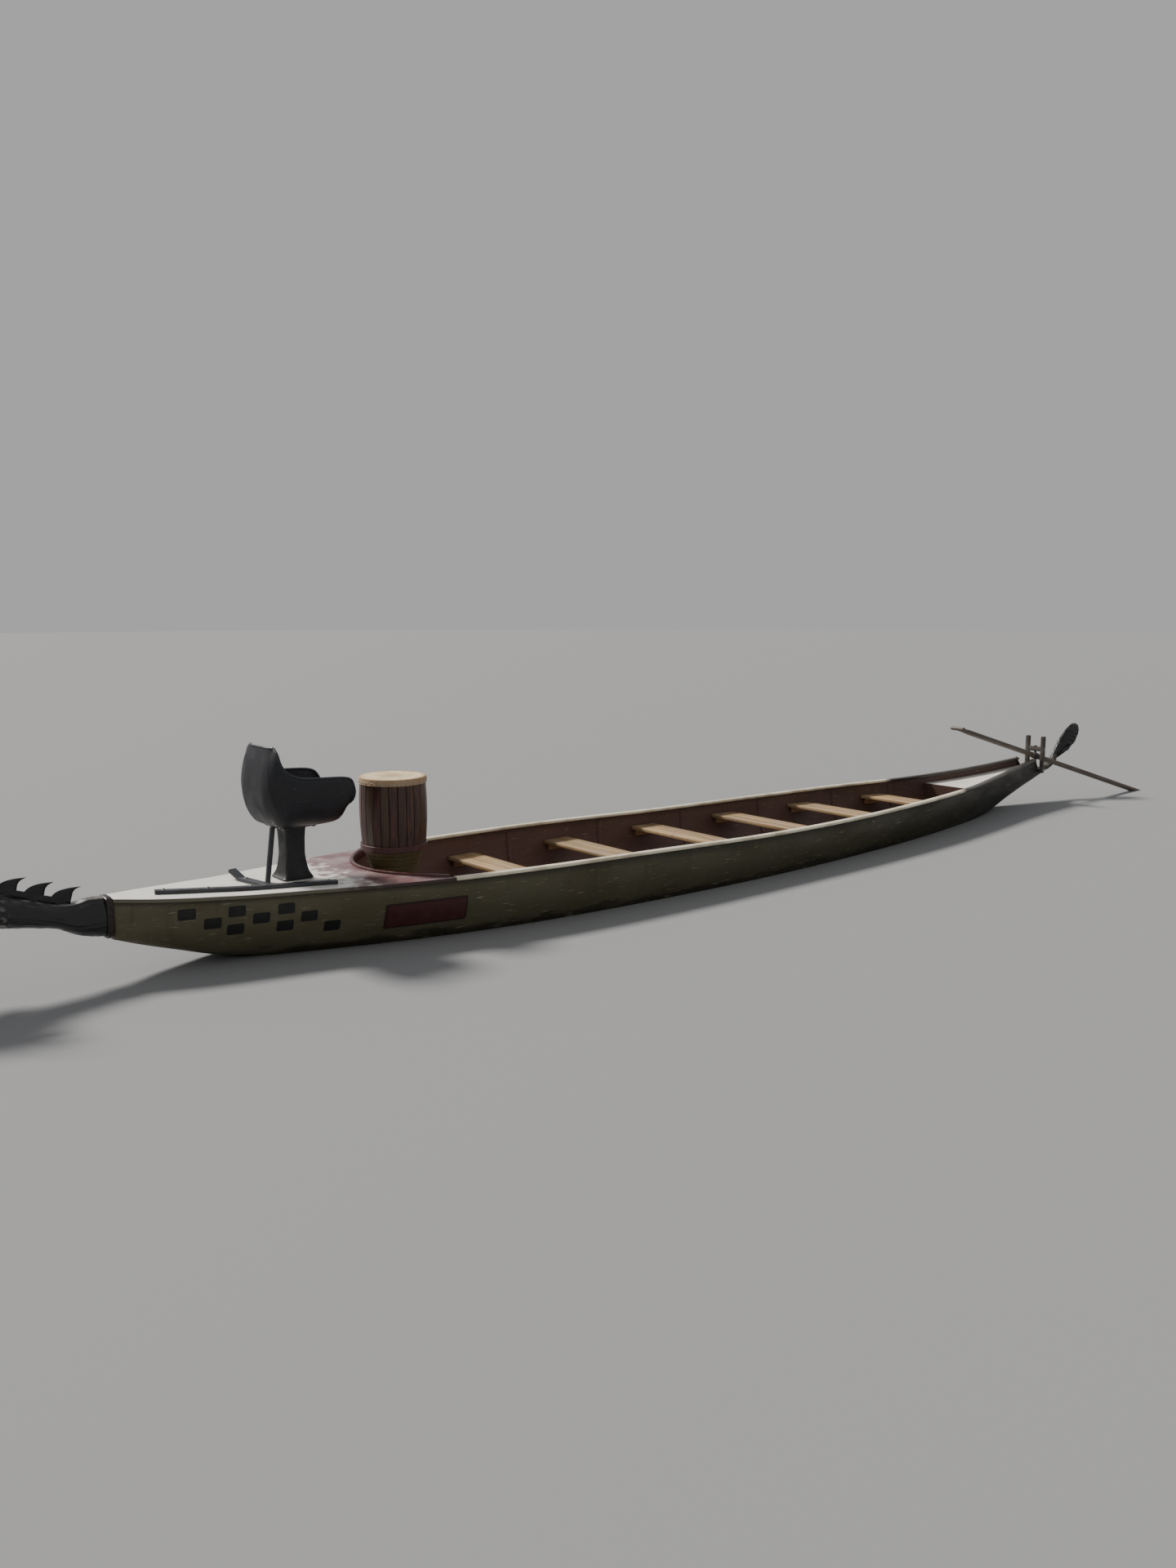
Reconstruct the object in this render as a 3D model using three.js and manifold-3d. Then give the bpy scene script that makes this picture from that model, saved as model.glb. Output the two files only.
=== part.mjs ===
// A ten-seat dragon boat: decked bow and stern, open cockpit with thwarts, carved head and
// tail, the drummer's bucket seat and drum, and a steering oar hung in a frame at the stern.
// Millimetres. X runs forward to the bow, Y to port, Z up; the origin is on the waterline,
// on the centreline, at the middle of the waterline's length.

import * as THREE from 'three';
import { mergeVertices } from 'three/addons/utils/BufferGeometryUtils.js';
import Module from 'manifold-3d';

const wasm = await Module();
wasm.setup();

// Driving dimensions
const GAP = 0.3;                // between pieces that rest on each other
const HULL_WALL = 12;
const CAP_HEIGHT = 20;          // foredeck, and the gunwale that carries its line aft
const CAP_SEAT = 1.4;            // under the caps, whose stations differ from the planking's
const GUNWALE_WIDTH = 45;
const GUNWALE_OVERHANG = 6;
const KEEL_FLAT = 30;           // half width of the flat strip along the keel
const BILGE_SPLIT = 0.55;       // where the side planking meets the bottom, 0 sheer to 1 keel
const SEAM_STEP = 0.0006;
const BOW_END = 4050;
const STERN_END = -4200;
const BOW_BULKHEAD = 2745;
const STERN_BULKHEAD = -2800;
const BULWARK_END = -3880;
const STERN_RECESS = 75;        // from the gunwale's top down to the stern deck
const DECK_EDGE_X = 2720;       // the foredeck's aft edge on the centreline
const DECK_EDGE_CURVE = 0.00125;
const BENCHES = 6;
const BENCH_FIRST_X = 1700;
const BENCH_PITCH = 780;
const BENCH_TOP = 190;
const BENCH_WIDTH = 200;
const BENCH_THICKNESS = 24;
const FLOOR_TOP = -125;
const FLOOR_THICKNESS = 15;
const DRUM_X = 2500;
const DRUM_RADIUS = 180;
const DRUM_BOTTOM = 430;
const DRUM_TOP = 830;
const SEAT_X = 3110;
const PAN_UNDERSIDE = 636;
const PIVOT = [-3965, 38, 408]; // where the oar's shaft crosses its swivel
const SHAFT_RADIUS = 22;
const OAR_YAW = 12.5;           // degrees to port of straight astern
const OAR_DIP = 17.15;          // degrees below level

// Hull stations: x, half beam at the sheer, height of the sheer, height of the keel, fullness
const HULL = [
  [4050, 60, 395, 190, 3.2],
  [3900, 123, 383, 137, 2.6],
  [3750, 171, 373, 88, 2.3],
  [3600, 211, 365, 40, 2.2],
  [3450, 247, 357, 0, 2.1],
  [3150, 325, 350, -60, 2.1],
  [2650, 450, 338, -120, 2.3],
  [1950, 556, 331, -170, 2.6],
  [1050, 597, 318, -198, 2.9],
  [100, 598, 294, -200, 3.0],
  [-850, 562, 289, -198, 2.6],
  [-1750, 478, 296, -185, 2.3],
  [-2550, 350, 304, -137, 2.1],
  [-3050, 245, 325, -50, 2.1],
  [-3450, 166, 352, 70, 2.2],
  [-3750, 117, 378, 155, 2.4],
  [-3960, 86, 395, 207, 2.6],
  [-4200, 44, 405, 262, 2.8],
];

const COLOURS = {
  hull: ['#8f8a70', 0.55, 0],
  trim: ['#d9d2bb', 0.5, 0],
  deck: ['#e6e4dc', 0.5, 0],
  oxblood: ['#5a1d1f', 0.5, 0],
  black: ['#17161c', 0.45, 0],
  mouth: ['#7c1f22', 0.5, 0],
  ivory: ['#d8cfb2', 0.45, 0],
  timber: ['#6b5340', 0.7, 0],
  bench: ['#a58b66', 0.65, 0],
  stave: ['#6a3a2a', 0.5, 0],
  skin: ['#d9c7a1', 0.7, 0],
  plastic: ['#22262e', 0.5, 0],
  steel: ['#2b2e33', 0.45, 0.7],
};

const boat = new THREE.Group();

function addPiece(name, geometry, colour, parent = boat) {
  const [tint, roughness, metalness] = COLOURS[colour];
  const mesh = new THREE.Mesh(
    geometry,
    new THREE.MeshStandardMaterial({ color: tint, roughness, metalness }),
  );
  mesh.name = name;
  parent.add(mesh);
  return mesh;
}

// Closed surfaces from grids of points

function signedVolume(points, triangles) {
  let sum = 0;
  for (const [a, b, c] of triangles) {
    const [p, q, r] = [points[a], points[b], points[c]];
    sum += p[0] * (q[1] * r[2] - q[2] * r[1]);
    sum += p[1] * (q[2] * r[0] - q[0] * r[2]);
    sum += p[2] * (q[0] * r[1] - q[1] * r[0]);
  }
  return sum;
}

function closedMesh(points, triangles) {
  const flip = signedVolume(points, triangles) < 0;
  const order = triangles.map(([a, b, c]) => (flip ? [a, c, b] : [a, b, c]));
  const geometry = new THREE.BufferGeometry();
  geometry.setAttribute('position', new THREE.Float32BufferAttribute(points.flat(), 3));
  geometry.setIndex(order.flat());
  geometry.computeVertexNormals();
  return geometry;
}

// A solid through rings of equal length, with flat convex ends
function loft(rings) {
  const n = rings[0].length;
  const triangles = [];
  for (let r = 0; r + 1 < rings.length; r += 1) {
    for (let i = 0; i < n; i += 1) {
      const j = (i + 1) % n;
      const [a, b] = [r * n + i, r * n + j];
      triangles.push([a, b, b + n], [a, b + n, a + n]);
    }
  }
  const last = (rings.length - 1) * n;
  for (let i = 1; i + 1 < n; i += 1) {
    triangles.push([0, i + 1, i], [last, last + i, last + i + 1]);
  }
  return closedMesh(rings.flat(), triangles);
}

// A plate between two grids of points with the same rows and columns
function slab(top, under) {
  const [rows, cols] = [top.length, top[0].length];
  const triangles = [];
  const at = (r, c) => r * cols + c;
  const below = rows * cols;
  for (let r = 0; r + 1 < rows; r += 1) {
    for (let c = 0; c + 1 < cols; c += 1) {
      const [a, b, d, e] = [at(r, c), at(r, c + 1), at(r + 1, c), at(r + 1, c + 1)];
      triangles.push([a, b, e], [a, e, d]);
      triangles.push([a + below, e + below, b + below], [a + below, d + below, e + below]);
    }
  }
  const rim = [];
  for (let c = 0; c + 1 < cols; c += 1) rim.push([at(0, c + 1), at(0, c)]);
  for (let r = 0; r + 1 < rows; r += 1) rim.push([at(r, 0), at(r + 1, 0)]);
  for (let c = 0; c + 1 < cols; c += 1) rim.push([at(rows - 1, c), at(rows - 1, c + 1)]);
  for (let r = rows - 1; r > 0; r -= 1) rim.push([at(r, cols - 1), at(r - 1, cols - 1)]);
  for (const [a, b] of rim) triangles.push([a, b + below, a + below], [a, b, b + below]);
  return closedMesh([...top.flat(), ...under.flat()], triangles);
}

const mirrored = (geometry) => {
  const copy = geometry.clone();
  const position = copy.attributes.position;
  for (let i = 0; i < position.count; i += 1) position.setY(i, -position.getY(i));
  const index = copy.index.array;
  for (let i = 0; i < index.length; i += 3) [index[i], index[i + 1]] = [index[i + 1], index[i]];
  copy.computeVertexNormals();
  return copy;
};

// Joins and cuts

function solid(geometry) {
  const bare = geometry.clone();
  bare.deleteAttribute('normal');
  bare.deleteAttribute('uv');
  const merged = mergeVertices(bare, 1e-4);
  return new wasm.Manifold(new wasm.Mesh({
    numProp: 3,
    vertProperties: new Float32Array(merged.attributes.position.array),
    triVerts: new Uint32Array(merged.index.array),
  }));
}

function fromSolid(body) {
  const mesh = body.getMesh();
  const geometry = new THREE.BufferGeometry();
  geometry.setAttribute('position', new THREE.Float32BufferAttribute(mesh.vertProperties, 3));
  geometry.setIndex([...mesh.triVerts]);
  geometry.computeVertexNormals();
  return geometry;
}

const joined = (...pieces) => fromSolid(pieces.map(solid).reduce((a, b) => a.add(b)));
const cut = (piece, ...tools) => (
  fromSolid(tools.map(solid).reduce((a, b) => a.subtract(b), solid(piece)))
);

// A copy a little larger about its own centre, so that what it cuts keeps a gap to it
function swollen(geometry, by = 0.5) {
  const copy = geometry.clone();
  copy.computeBoundingBox();
  const size = copy.boundingBox.getSize(new THREE.Vector3());
  const centre = copy.boundingBox.getCenter(new THREE.Vector3());
  copy.translate(-centre.x, -centre.y, -centre.z);
  copy.scale(1 + (2 * by) / size.x, 1 + (2 * by) / size.y, 1 + (2 * by) / size.z);
  return copy.translate(centre.x, centre.y, centre.z);
}

// The hull's form

const range = (from, to, steps) => (
  Array.from({ length: steps + 1 }, (_, i) => from + ((to - from) * i) / steps)
);

// Every column of a table at x, as a smooth curve through the rows
function hullAt(x) {
  let i = HULL.findIndex((row) => row[0] <= x);
  if (i < 1) i = i < 0 ? HULL.length - 1 : 1;
  const [p, q] = [HULL[i - 1], HULL[i]];
  const [before, after] = [HULL[Math.max(i - 2, 0)], HULL[Math.min(i + 1, HULL.length - 1)]];
  const span = q[0] - p[0];
  const t = (x - p[0]) / span;
  const [b, s, k, n] = [1, 2, 3, 4].map((c) => {
    const m0 = ((q[c] - before[c]) / (q[0] - before[0])) * span;
    const m1 = ((after[c] - p[c]) / (after[0] - p[0])) * span;
    return (2 * t ** 3 - 3 * t ** 2 + 1) * p[c] + (t ** 3 - 2 * t ** 2 + t) * m0
      + (-2 * t ** 3 + 3 * t ** 2) * q[c] + (t ** 3 - t ** 2) * m1;
  });
  return { beam: b, sheer: s, keel: k, fullness: n };
}

// A point of the section: a superellipse from the sheer (f = 0) to the flat keel (f = 1)
function skinPoint(x, f, inset = 0, side = 1) {
  const { beam, sheer, keel, fullness } = hullAt(x);
  const flat = Math.min(KEEL_FLAT, beam * 0.3);
  const angle = (f * Math.PI) / 2;
  const y = flat + (beam - inset - flat) * Math.max(Math.cos(angle), 0) ** (2 / fullness);
  const z = sheer - (sheer - keel - inset) * Math.sin(angle) ** (2 / fullness);
  return [x, side * y, z];
}

// The planked section on one side, as the facets of the planking have it
function planked(x, inset, side = 1) {
  const shares = [...range(0, BILGE_SPLIT, 4), ...range(BILGE_SPLIT + SEAM_STEP, 1, 4)];
  return shares.map((f) => skinPoint(x, f, inset, side));
}

// The same section from a height down
function plankedBelow(x, top, inset, side) {
  const points = planked(x, inset, side);
  const i = points.findIndex((p) => p[2] < top);
  const [a, b] = [points[i - 1], points[i]];
  const t = (top - a[2]) / (b[2] - a[2]);
  return [[x, a[1] + (b[1] - a[1]) * t, top], ...points.slice(i)];
}

// Half breadth at a height
const halfBreadth = (x, z, inset = 0) => plankedBelow(x, z, inset, 1)[0][1];

// The share f at which the section has come down to a height
function shareAt(x, z) {
  const { sheer, keel, fullness } = hullAt(x);
  const down = (sheer - z) / (sheer - keel);
  return (2 / Math.PI) * Math.asin(Math.min(down, 1) ** (fullness / 2));
}

// The hull's planking and its decked ends

const cockpitX = range(BOW_BULKHEAD - GAP, STERN_BULKHEAD + GAP, 15);

// The planking is in lengths that butt end to end, each with two sides and two bottom strakes
const LENGTHS = ['forward', 'middle', 'aft'];
const sideShell = (stations, inset) => stations.map((x) => range(0, BILGE_SPLIT, 4).map((f, i) => {
  const [, y, z] = skinPoint(x, f, inset);
  return [x, y, i === 0 ? z - CAP_HEIGHT - CAP_SEAT : z];
}));
const bottomShell = (stations, inset) => stations.map((x) => {
  const strake = range(BILGE_SPLIT + SEAM_STEP, 1, 4).map((f) => skinPoint(x, f, inset));
  return [...strake, [x, GAP / 2, strake.at(-1)[2]]];
});
LENGTHS.forEach((length, i) => {
  const intervals = (cockpitX.length - 1) / LENGTHS.length;
  const stations = cockpitX.slice(i * intervals, (i + 1) * intervals + 1);
  if (i > 0) stations[0] -= GAP;
  for (const [part, shell] of [['side', sideShell], ['bottom', bottomShell]]) {
    const planking = slab(shell(stations, 0), shell(stations, HULL_WALL));
    addPiece(`hull_${part}_${length}_port`, planking, 'hull');
    addPiece(`hull_${part}_${length}_starboard`, mirrored(planking), 'hull');
  }
});

// One closed section of a decked end, from its flat top round the keel. The ends are closed
// chambers, and the flat face that each turns to the cockpit is its bulkhead.
function endSection(x, top, steps) {
  const shares = range(shareAt(x, top), 1, steps);
  const port = shares.map((f) => skinPoint(x, f));
  const starboard = shares.map((f) => skinPoint(x, f, 0, -1)).reverse();
  return [...port, ...starboard];
}

const bowX = range(BOW_BULKHEAD, BOW_END, 8);
const bowBlock = loft(bowX.map((x) => endSection(x, hullAt(x).sheer - CAP_HEIGHT - CAP_SEAT, 7)));
addPiece('hull_bow', bowBlock, 'hull');

// The stern block is level with the recessed deck, then falls away under the oar
const sternTop = (x) => {
  const recessed = hullAt(Math.max(x, BULWARK_END)).sheer - STERN_RECESS;
  return recessed - Math.max(0, BULWARK_END - x) * 0.08;
};
const sternX = [...range(STERN_BULKHEAD, BULWARK_END, 7), ...range(BULWARK_END, STERN_END, 3).slice(1)];
const STERN_DECK = 10;
const sternBlock = loft(sternX.map((x) => endSection(x, sternTop(x) - STERN_DECK - GAP, 6)));
addPiece('hull_stern', sternBlock, 'hull');

const bulwarkX = range(STERN_BULKHEAD, BULWARK_END, 7);
const bulwarkShell = (inset) => bulwarkX.map((x) => {
  const low = shareAt(x, sternTop(x) - STERN_DECK);
  return range(0, low, 2).map((f, i) => {
    const [, y, z] = skinPoint(x, f, inset);
    return [x, y, i === 0 ? z - CAP_HEIGHT - CAP_SEAT : z];
  });
});
const bulwark = slab(bulwarkShell(0), bulwarkShell(HULL_WALL));
addPiece('bulwark_port', bulwark, 'hull');
addPiece('bulwark_starboard', mirrored(bulwark), 'hull');

const sternDeckGrid = (depth) => bulwarkX.map((x) => {
  const half = halfBreadth(x, sternTop(x) - STERN_DECK, HULL_WALL) - 2;
  return range(-half, half, 2).map((y) => [x, y, sternTop(x) - depth]);
});
addPiece('stern_deck', slab(sternDeckGrid(0), sternDeckGrid(STERN_DECK)), 'deck');

// Foredeck with a hollowed aft edge, its coaming, and the gunwales that run on from it

const deckEdgeX = (y) => DECK_EDGE_X - DECK_EDGE_CURVE * y ** 2;
function deckEdgePoint(v) {
  let x = DECK_EDGE_X;
  for (let i = 0; i < 20; i += 1) x = deckEdgeX(v * hullAt(x).beam);
  return x;
}
const DECK_SHARES = range(-1, 1, 12);
const deckGrid = (depth) => range(0, 1, 9).map((u) => DECK_SHARES.map((v) => {
  const x = BOW_END + (deckEdgePoint(v) - BOW_END) * u;
  return [x, v * hullAt(x).beam, hullAt(x).sheer - depth];
}));
addPiece('foredeck', slab(deckGrid(0), deckGrid(CAP_HEIGHT)), 'deck');

const COAMING = { thickness: 22, above: 14, below: 45 };
const coamingGrid = (aft) => [COAMING.above, -COAMING.below].map((dz) => (
  DECK_SHARES.slice(1, -1).map((v) => {
    const x = deckEdgePoint(v);
    return [x - GAP - aft, v * hullAt(x).beam, hullAt(x).sheer + dz];
  })
));
addPiece('foredeck_coaming', slab(coamingGrid(0), coamingGrid(COAMING.thickness)), 'oxblood');

const gunwaleX = range(deckEdgePoint(1) - 4, BULWARK_END, 17);
const gunwaleGrid = (depth) => gunwaleX.map((x) => {
  const { beam, sheer } = hullAt(x);
  const outer = beam + GUNWALE_OVERHANG;
  return [[x, outer, sheer - depth], [x, outer - GUNWALE_WIDTH, sheer - depth]];
});
const gunwale = slab(gunwaleGrid(0), gunwaleGrid(CAP_HEIGHT));
addPiece('gunwale_port', gunwale, 'trim');
addPiece('gunwale_starboard', mirrored(gunwale), 'trim');

// Cockpit: thwarts on cleats, the drum's thwart and the floor

// The planking's inner half breadth at a height, on the facets between two stations
function innerBreadth(x, z) {
  const i = Math.max(1, cockpitX.findIndex((station) => station < x));
  const [a, b] = [cockpitX[i - 1], cockpitX[i]];
  const [fore, aft] = [a, b].map((station) => halfBreadth(station, z, HULL_WALL));
  return fore + ((aft - fore) * (x - a)) / (b - a);
}

// A plank across the boat, its ends trimmed to the planking, on a cleat at each end
const CLEAT = { depth: 45, width: 22, setIn: 30, gap: 0.7, overlap: 1 };
function thwart(x, width, top, thickness) {
  const half = (at) => innerBreadth(at, top - thickness) - 5;
  const [front, back] = [x + width / 2, x - width / 2];
  const outline = [[front, half(front)], [back, half(back)], [back, -half(back)], [front, -half(front)]];
  const plank = loft([top, top - thickness].map((z) => outline.map(([px, y]) => [px, y, z])));
  const cleatTop = top - thickness + CLEAT.overlap;
  const cleatBottom = top - thickness - CLEAT.depth;
  const cleat = loft(range(front - CLEAT.setIn, back + CLEAT.setIn, 4).map((at) => {
    const outer = Math.min(innerBreadth(at, cleatTop), innerBreadth(at, cleatBottom)) - CLEAT.gap;
    const inner = outer - CLEAT.width;
    return [[at, outer, cleatTop], [at, inner, cleatTop], [at, inner, cleatBottom], [at, outer, cleatBottom]];
  }));
  return joined(plank, cleat, mirrored(cleat));
}
for (let i = 0; i < BENCHES; i += 1) {
  const plank = thwart(BENCH_FIRST_X - i * BENCH_PITCH, BENCH_WIDTH, BENCH_TOP, BENCH_THICKNESS);
  addPiece(`bench_${i + 1}`, plank, 'bench');
}
const DRUM_THWART = 300;
addPiece('drum_thwart', thwart(DRUM_X, DRUM_THWART, BENCH_TOP, BENCH_THICKNESS), 'bench');

// Floor plank, on bearers that reach down to the planking, with a batten for the feet
// behind every thwart
const FLOOR = { front: 1450, back: -1900, half: 170, bearer: 40, batten: 28 };
const box = (x0, x1, y0, y1, z0, z1) => (
  new THREE.BoxGeometry(x1 - x0, y1 - y0, z1 - z0)
    .translate((x0 + x1) / 2, (y0 + y1) / 2, (z0 + z1) / 2)
);
// The keel's height between the planking's stations, where its facets are straight
function plankedKeel(x) {
  const i = cockpitX.findIndex((station) => station < x);
  const [a, b] = [cockpitX[i - 1], cockpitX[i]];
  return hullAt(a).keel + ((hullAt(b).keel - hullAt(a).keel) * (x - a)) / (b - a);
}
const floorParts = [
  box(FLOOR.back, FLOOR.front, -FLOOR.half, FLOOR.half, FLOOR_TOP - FLOOR_THICKNESS, FLOOR_TOP),
];
for (let i = 0; i < BENCHES - 1; i += 1) {
  const x = BENCH_FIRST_X - (i + 0.55) * BENCH_PITCH;
  const inner = Math.max(plankedKeel(x - FLOOR.bearer), plankedKeel(x + FLOOR.bearer)) + HULL_WALL + 0.5;
  floorParts.push(box(x - FLOOR.bearer / 2, x + FLOOR.bearer / 2, -26, 26, inner, FLOOR_TOP - 2));
  const batten = box(x - 14, x + 14, -FLOOR.half + 5, FLOOR.half - 5, FLOOR_TOP - 2, FLOOR_TOP + FLOOR.batten);
  floorParts.push(batten);
}
addPiece('floor_boards', joined(...floorParts), 'timber');

// Bow collar, neck and head: sections are x, half width, top, underside

const NECK = [
  [4075, 62, 398, 212],
  [4160, 66, 406, 226],
  [4215, 70, 399, 243],
  [4300, 76, 408, 284],
  [4390, 80, 436, 303],
  [4540, 88, 488, 333],
  [4660, 96, 540, 378],
  [4760, 106, 596, 425],
];
const CRANIUM = [
  [4760, 106, 596, 425],
  [4830, 124, 652, 442],
  [4905, 132, 682, 470],
  [4975, 118, 664, 492],
  [5040, 92, 622, 502],
  [5120, 80, 604, 505],
  [5200, 86, 626, 502],
  [5262, 74, 618, 500],
  [5292, 44, 590, 512],
];
const LOWER_JAW = [
  [4775, 58, 440, 378],
  [4850, 84, 460, 372],
  [4920, 80, 436, 366],
  [5000, 70, 410, 352],
  [5080, 64, 394, 342],
  [5160, 60, 384, 338],
  [5220, 42, 378, 346],
];
const TONGUE = [
  [4905, 30, 454, 424],
  [5000, 30, 428, 402],
  [5100, 28, 414, 394],
  [5190, 24, 422, 406],
  [5250, 10, 440, 430],
];

// A rounded section round X; roundness 2 is an ellipse, more is squarer
function carvedRing([x, half, top, under], roundness, sides, shift = 0) {
  const [mid, tall] = [(top + under) / 2, (top - under) / 2];
  const power = 2 / roundness;
  const bend = (v) => Math.sign(v) * Math.abs(v) ** power;
  return Array.from({ length: sides }, (_, i) => {
    const angle = ((i + 0.5) / sides) * 2 * Math.PI;
    return [x + shift, half * bend(Math.cos(angle)), mid + tall * bend(Math.sin(angle))];
  });
}
const carved = (rows, roundness, sides, shift = 0) => (
  loft(rows.map((row) => carvedRing(row, roundness, sides, shift)))
);

const COLLAR = { back: BOW_END + GAP, front: 4075 - GAP };
const collarRow = (x) => [x, 70, 402, 196];
addPiece('bow_collar', carved([collarRow(COLLAR.back), collarRow(COLLAR.front)], 4, 16), 'oxblood');
const neck = carved(NECK, 2.6, 14);
addPiece('dragon_neck', neck, 'black');
const cranium = carved(CRANIUM, 2.4, 14, GAP);
addPiece('dragon_head', cranium, 'black');
const headTool = swollen(cranium);
const jaw = cut(carved(LOWER_JAW, 2.6, 10), headTool, swollen(neck));
addPiece('lower_jaw', jaw, 'black');
addPiece('tongue', cut(carved(TONGUE, 2.2, 8), swollen(jaw)), 'mouth');

// Crest: hooked spikes whose tips point aft, on the centreline of the neck
const CREST = { half: 11, first: 4184, pitch: 110, count: 5, sink: 8 };
function topOf(rows, x) {
  const i = Math.max(1, rows.findIndex((row) => row[0] >= x));
  const [a, b] = [rows[i - 1], rows[i]];
  return a[2] + ((b[2] - a[2]) * (x - a[0])) / (b[0] - a[0]);
}
function crestOutline() {
  const points = [];
  const last = CREST.first + CREST.pitch * (CREST.count - 1);
  for (let i = 0; i < CREST.count; i += 1) {
    const tip = CREST.first + i * CREST.pitch;
    const base = topOf(NECK, tip);
    const tall = 60 + 11 * i;
    points.push([tip + 22, base + 6 + 0.1 * tall], [tip + 26, base + 0.55 * tall]);
    points.push([tip, base + tall], [tip + 62, base + 0.72 * tall + 8]);
    if (i < CREST.count - 1) points.push([tip + 100, topOf(NECK, tip + 100) + 22]);
  }
  const under = (x) => [x, topOf(NECK, x) - CREST.sink];
  const stations = NECK.map((row) => row[0]).filter((x) => x > CREST.first + 22 && x < last + 90);
  return [...points, ...[last + 90, ...stations.reverse(), CREST.first + 22].map(under)];
}
const crestShape = new THREE.Shape(crestOutline().map(([x, z]) => new THREE.Vector2(x, z)));
const crestPlate = new THREE.ExtrudeGeometry(crestShape, { depth: 2 * CREST.half, bevelEnabled: false })
  .translate(0, 0, -CREST.half)
  .rotateX(Math.PI / 2);
addPiece('neck_crest', cut(crestPlate, swollen(neck), neck.clone().translate(0, 0, GAP)), 'black');

// A round tapered piece along a curve: points with their radii
function horn(points, radii, sides) {
  const curve = new THREE.CatmullRomCurve3(points.map((p) => new THREE.Vector3(...p)));
  const steps = radii.length - 1;
  const frames = curve.computeFrenetFrames(steps, false);
  return loft(radii.map((radius, i) => {
    const centre = curve.getPointAt(i / steps);
    return Array.from({ length: sides }, (_, k) => {
      const angle = (k / sides) * 2 * Math.PI;
      const spot = centre.clone()
        .addScaledVector(frames.normals[i], radius * Math.cos(angle))
        .addScaledVector(frames.binormals[i], radius * Math.sin(angle));
      return spot.toArray();
    });
  }));
}
function addPair(name, geometry, colour, ...tools) {
  addPiece(`${name}_port`, cut(geometry, ...tools), colour);
  addPiece(`${name}_starboard`, cut(mirrored(geometry), ...tools), colour);
}
const hornPath = [[4890, 62, 640], [4850, 84, 730], [4760, 104, 800], [4640, 118, 830]];
addPair('horn', horn(hornPath, [30, 28, 25, 21, 16, 11, 4], 10), 'ivory', headTool);
const earPath = [[4860, 100, 590], [4815, 160, 620], [4750, 200, 650]];
addPair('ear', horn(earPath, [34, 36, 26, 5], 8), 'black', headTool, swollen(neck));
const EYE = { radius: 27, at: [4985, 92, 622] };
addPair('eye', new THREE.SphereGeometry(EYE.radius, 12, 8).translate(...EYE.at), 'ivory', headTool);

// Tail: a stem out of the stern, then a leaf-shaped plume leaning aft

const TAIL_STEM = [
  [-4200, 38, 298, 262],
  [-4275, 34, 340, 284],
  [-4350, 28, 402, 320],
];
addPiece('tail_stem', carved(TAIL_STEM, 3, 10, -GAP), 'timber');

// Stations of the plume: share of its length, half depth, half thickness
const PLUME = [
  [0, 24, 16],
  [0.15, 42, 24],
  [0.35, 68, 30],
  [0.6, 82, 30],
  [0.8, 72, 24],
  [0.93, 44, 16],
  [1, 12, 6],
];
const plumeRoot = new THREE.Vector3(-4352, 0, 362);
const plumeTip = new THREE.Vector3(-4735, 0, 650);
const plumeAxis = plumeTip.clone().sub(plumeRoot);
const plumeUp = new THREE.Vector3(-plumeAxis.z, 0, plumeAxis.x).normalize().negate();
const plume = loft(PLUME.map(([t, deep, thick]) => Array.from({ length: 12 }, (_, i) => {
  const angle = (i / 12) * 2 * Math.PI;
  return plumeRoot.clone()
    .addScaledVector(plumeAxis, t)
    .addScaledVector(plumeUp, deep * Math.sin(angle))
    .add(new THREE.Vector3(0, thick * Math.cos(angle), 0))
    .toArray();
})));
addPiece('tail_plume', cut(plume, swollen(carved(TAIL_STEM, 3, 10, -GAP))), 'black');

// Oar frame: the port post is bolted to the stern's side through a packing piece and the starboard
// one stands on the stern, on either side of the shaft, and a short beam between them carries the
// swivel

const POST = { depth: 30, width: 35, top: 582, port: 92, starboard: -17, foot: 262 };
const PACKING = { inner: 74, top: 300 };
const CROSSBAR = { half: 14, bottom: 450, top: 490, port: POST.port - GAP, starboard: POST.starboard + GAP };
const [postAft, postFore] = [PIVOT[0] - POST.depth / 2, PIVOT[0] + POST.depth / 2];
addPiece('oar_post_port', box(
  postAft, postFore, POST.port, POST.port + POST.width, POST.foot, POST.top,
), 'timber');
const packing = box(postAft, postFore, PACKING.inner, POST.port - GAP, POST.foot, PACKING.top);
addPiece('oar_post_packing', cut(packing, swollen(sternBlock, 1)), 'timber');
const starboardFoot = sternTop(postFore) - STERN_DECK;
addPiece('oar_post_starboard', box(
  postAft, postFore, POST.starboard - POST.width, POST.starboard, starboardFoot, POST.top,
), 'timber');
const PIN = { radius: 7, hole: 8, head: 15, headHeight: 8 };
const crossbarShape = new THREE.Shape([
  [PIVOT[0] - CROSSBAR.half, CROSSBAR.starboard],
  [PIVOT[0] + CROSSBAR.half, CROSSBAR.starboard],
  [PIVOT[0] + CROSSBAR.half, CROSSBAR.port],
  [PIVOT[0] - CROSSBAR.half, CROSSBAR.port],
].map(([x, y]) => new THREE.Vector2(x, y)));
const pinHole = new THREE.Path();
pinHole.absarc(PIVOT[0], PIVOT[1], PIN.hole, 0, 2 * Math.PI, true);
crossbarShape.holes.push(pinHole);
const crossbar = new THREE.ExtrudeGeometry(crossbarShape, {
  depth: CROSSBAR.top - CROSSBAR.bottom, bevelEnabled: false, curveSegments: 16,
}).translate(0, 0, CROSSBAR.bottom);
addPiece('oar_crossbar', crossbar, 'timber');

// Steering oar: built along its own X, from the pivot out to the blade

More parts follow.
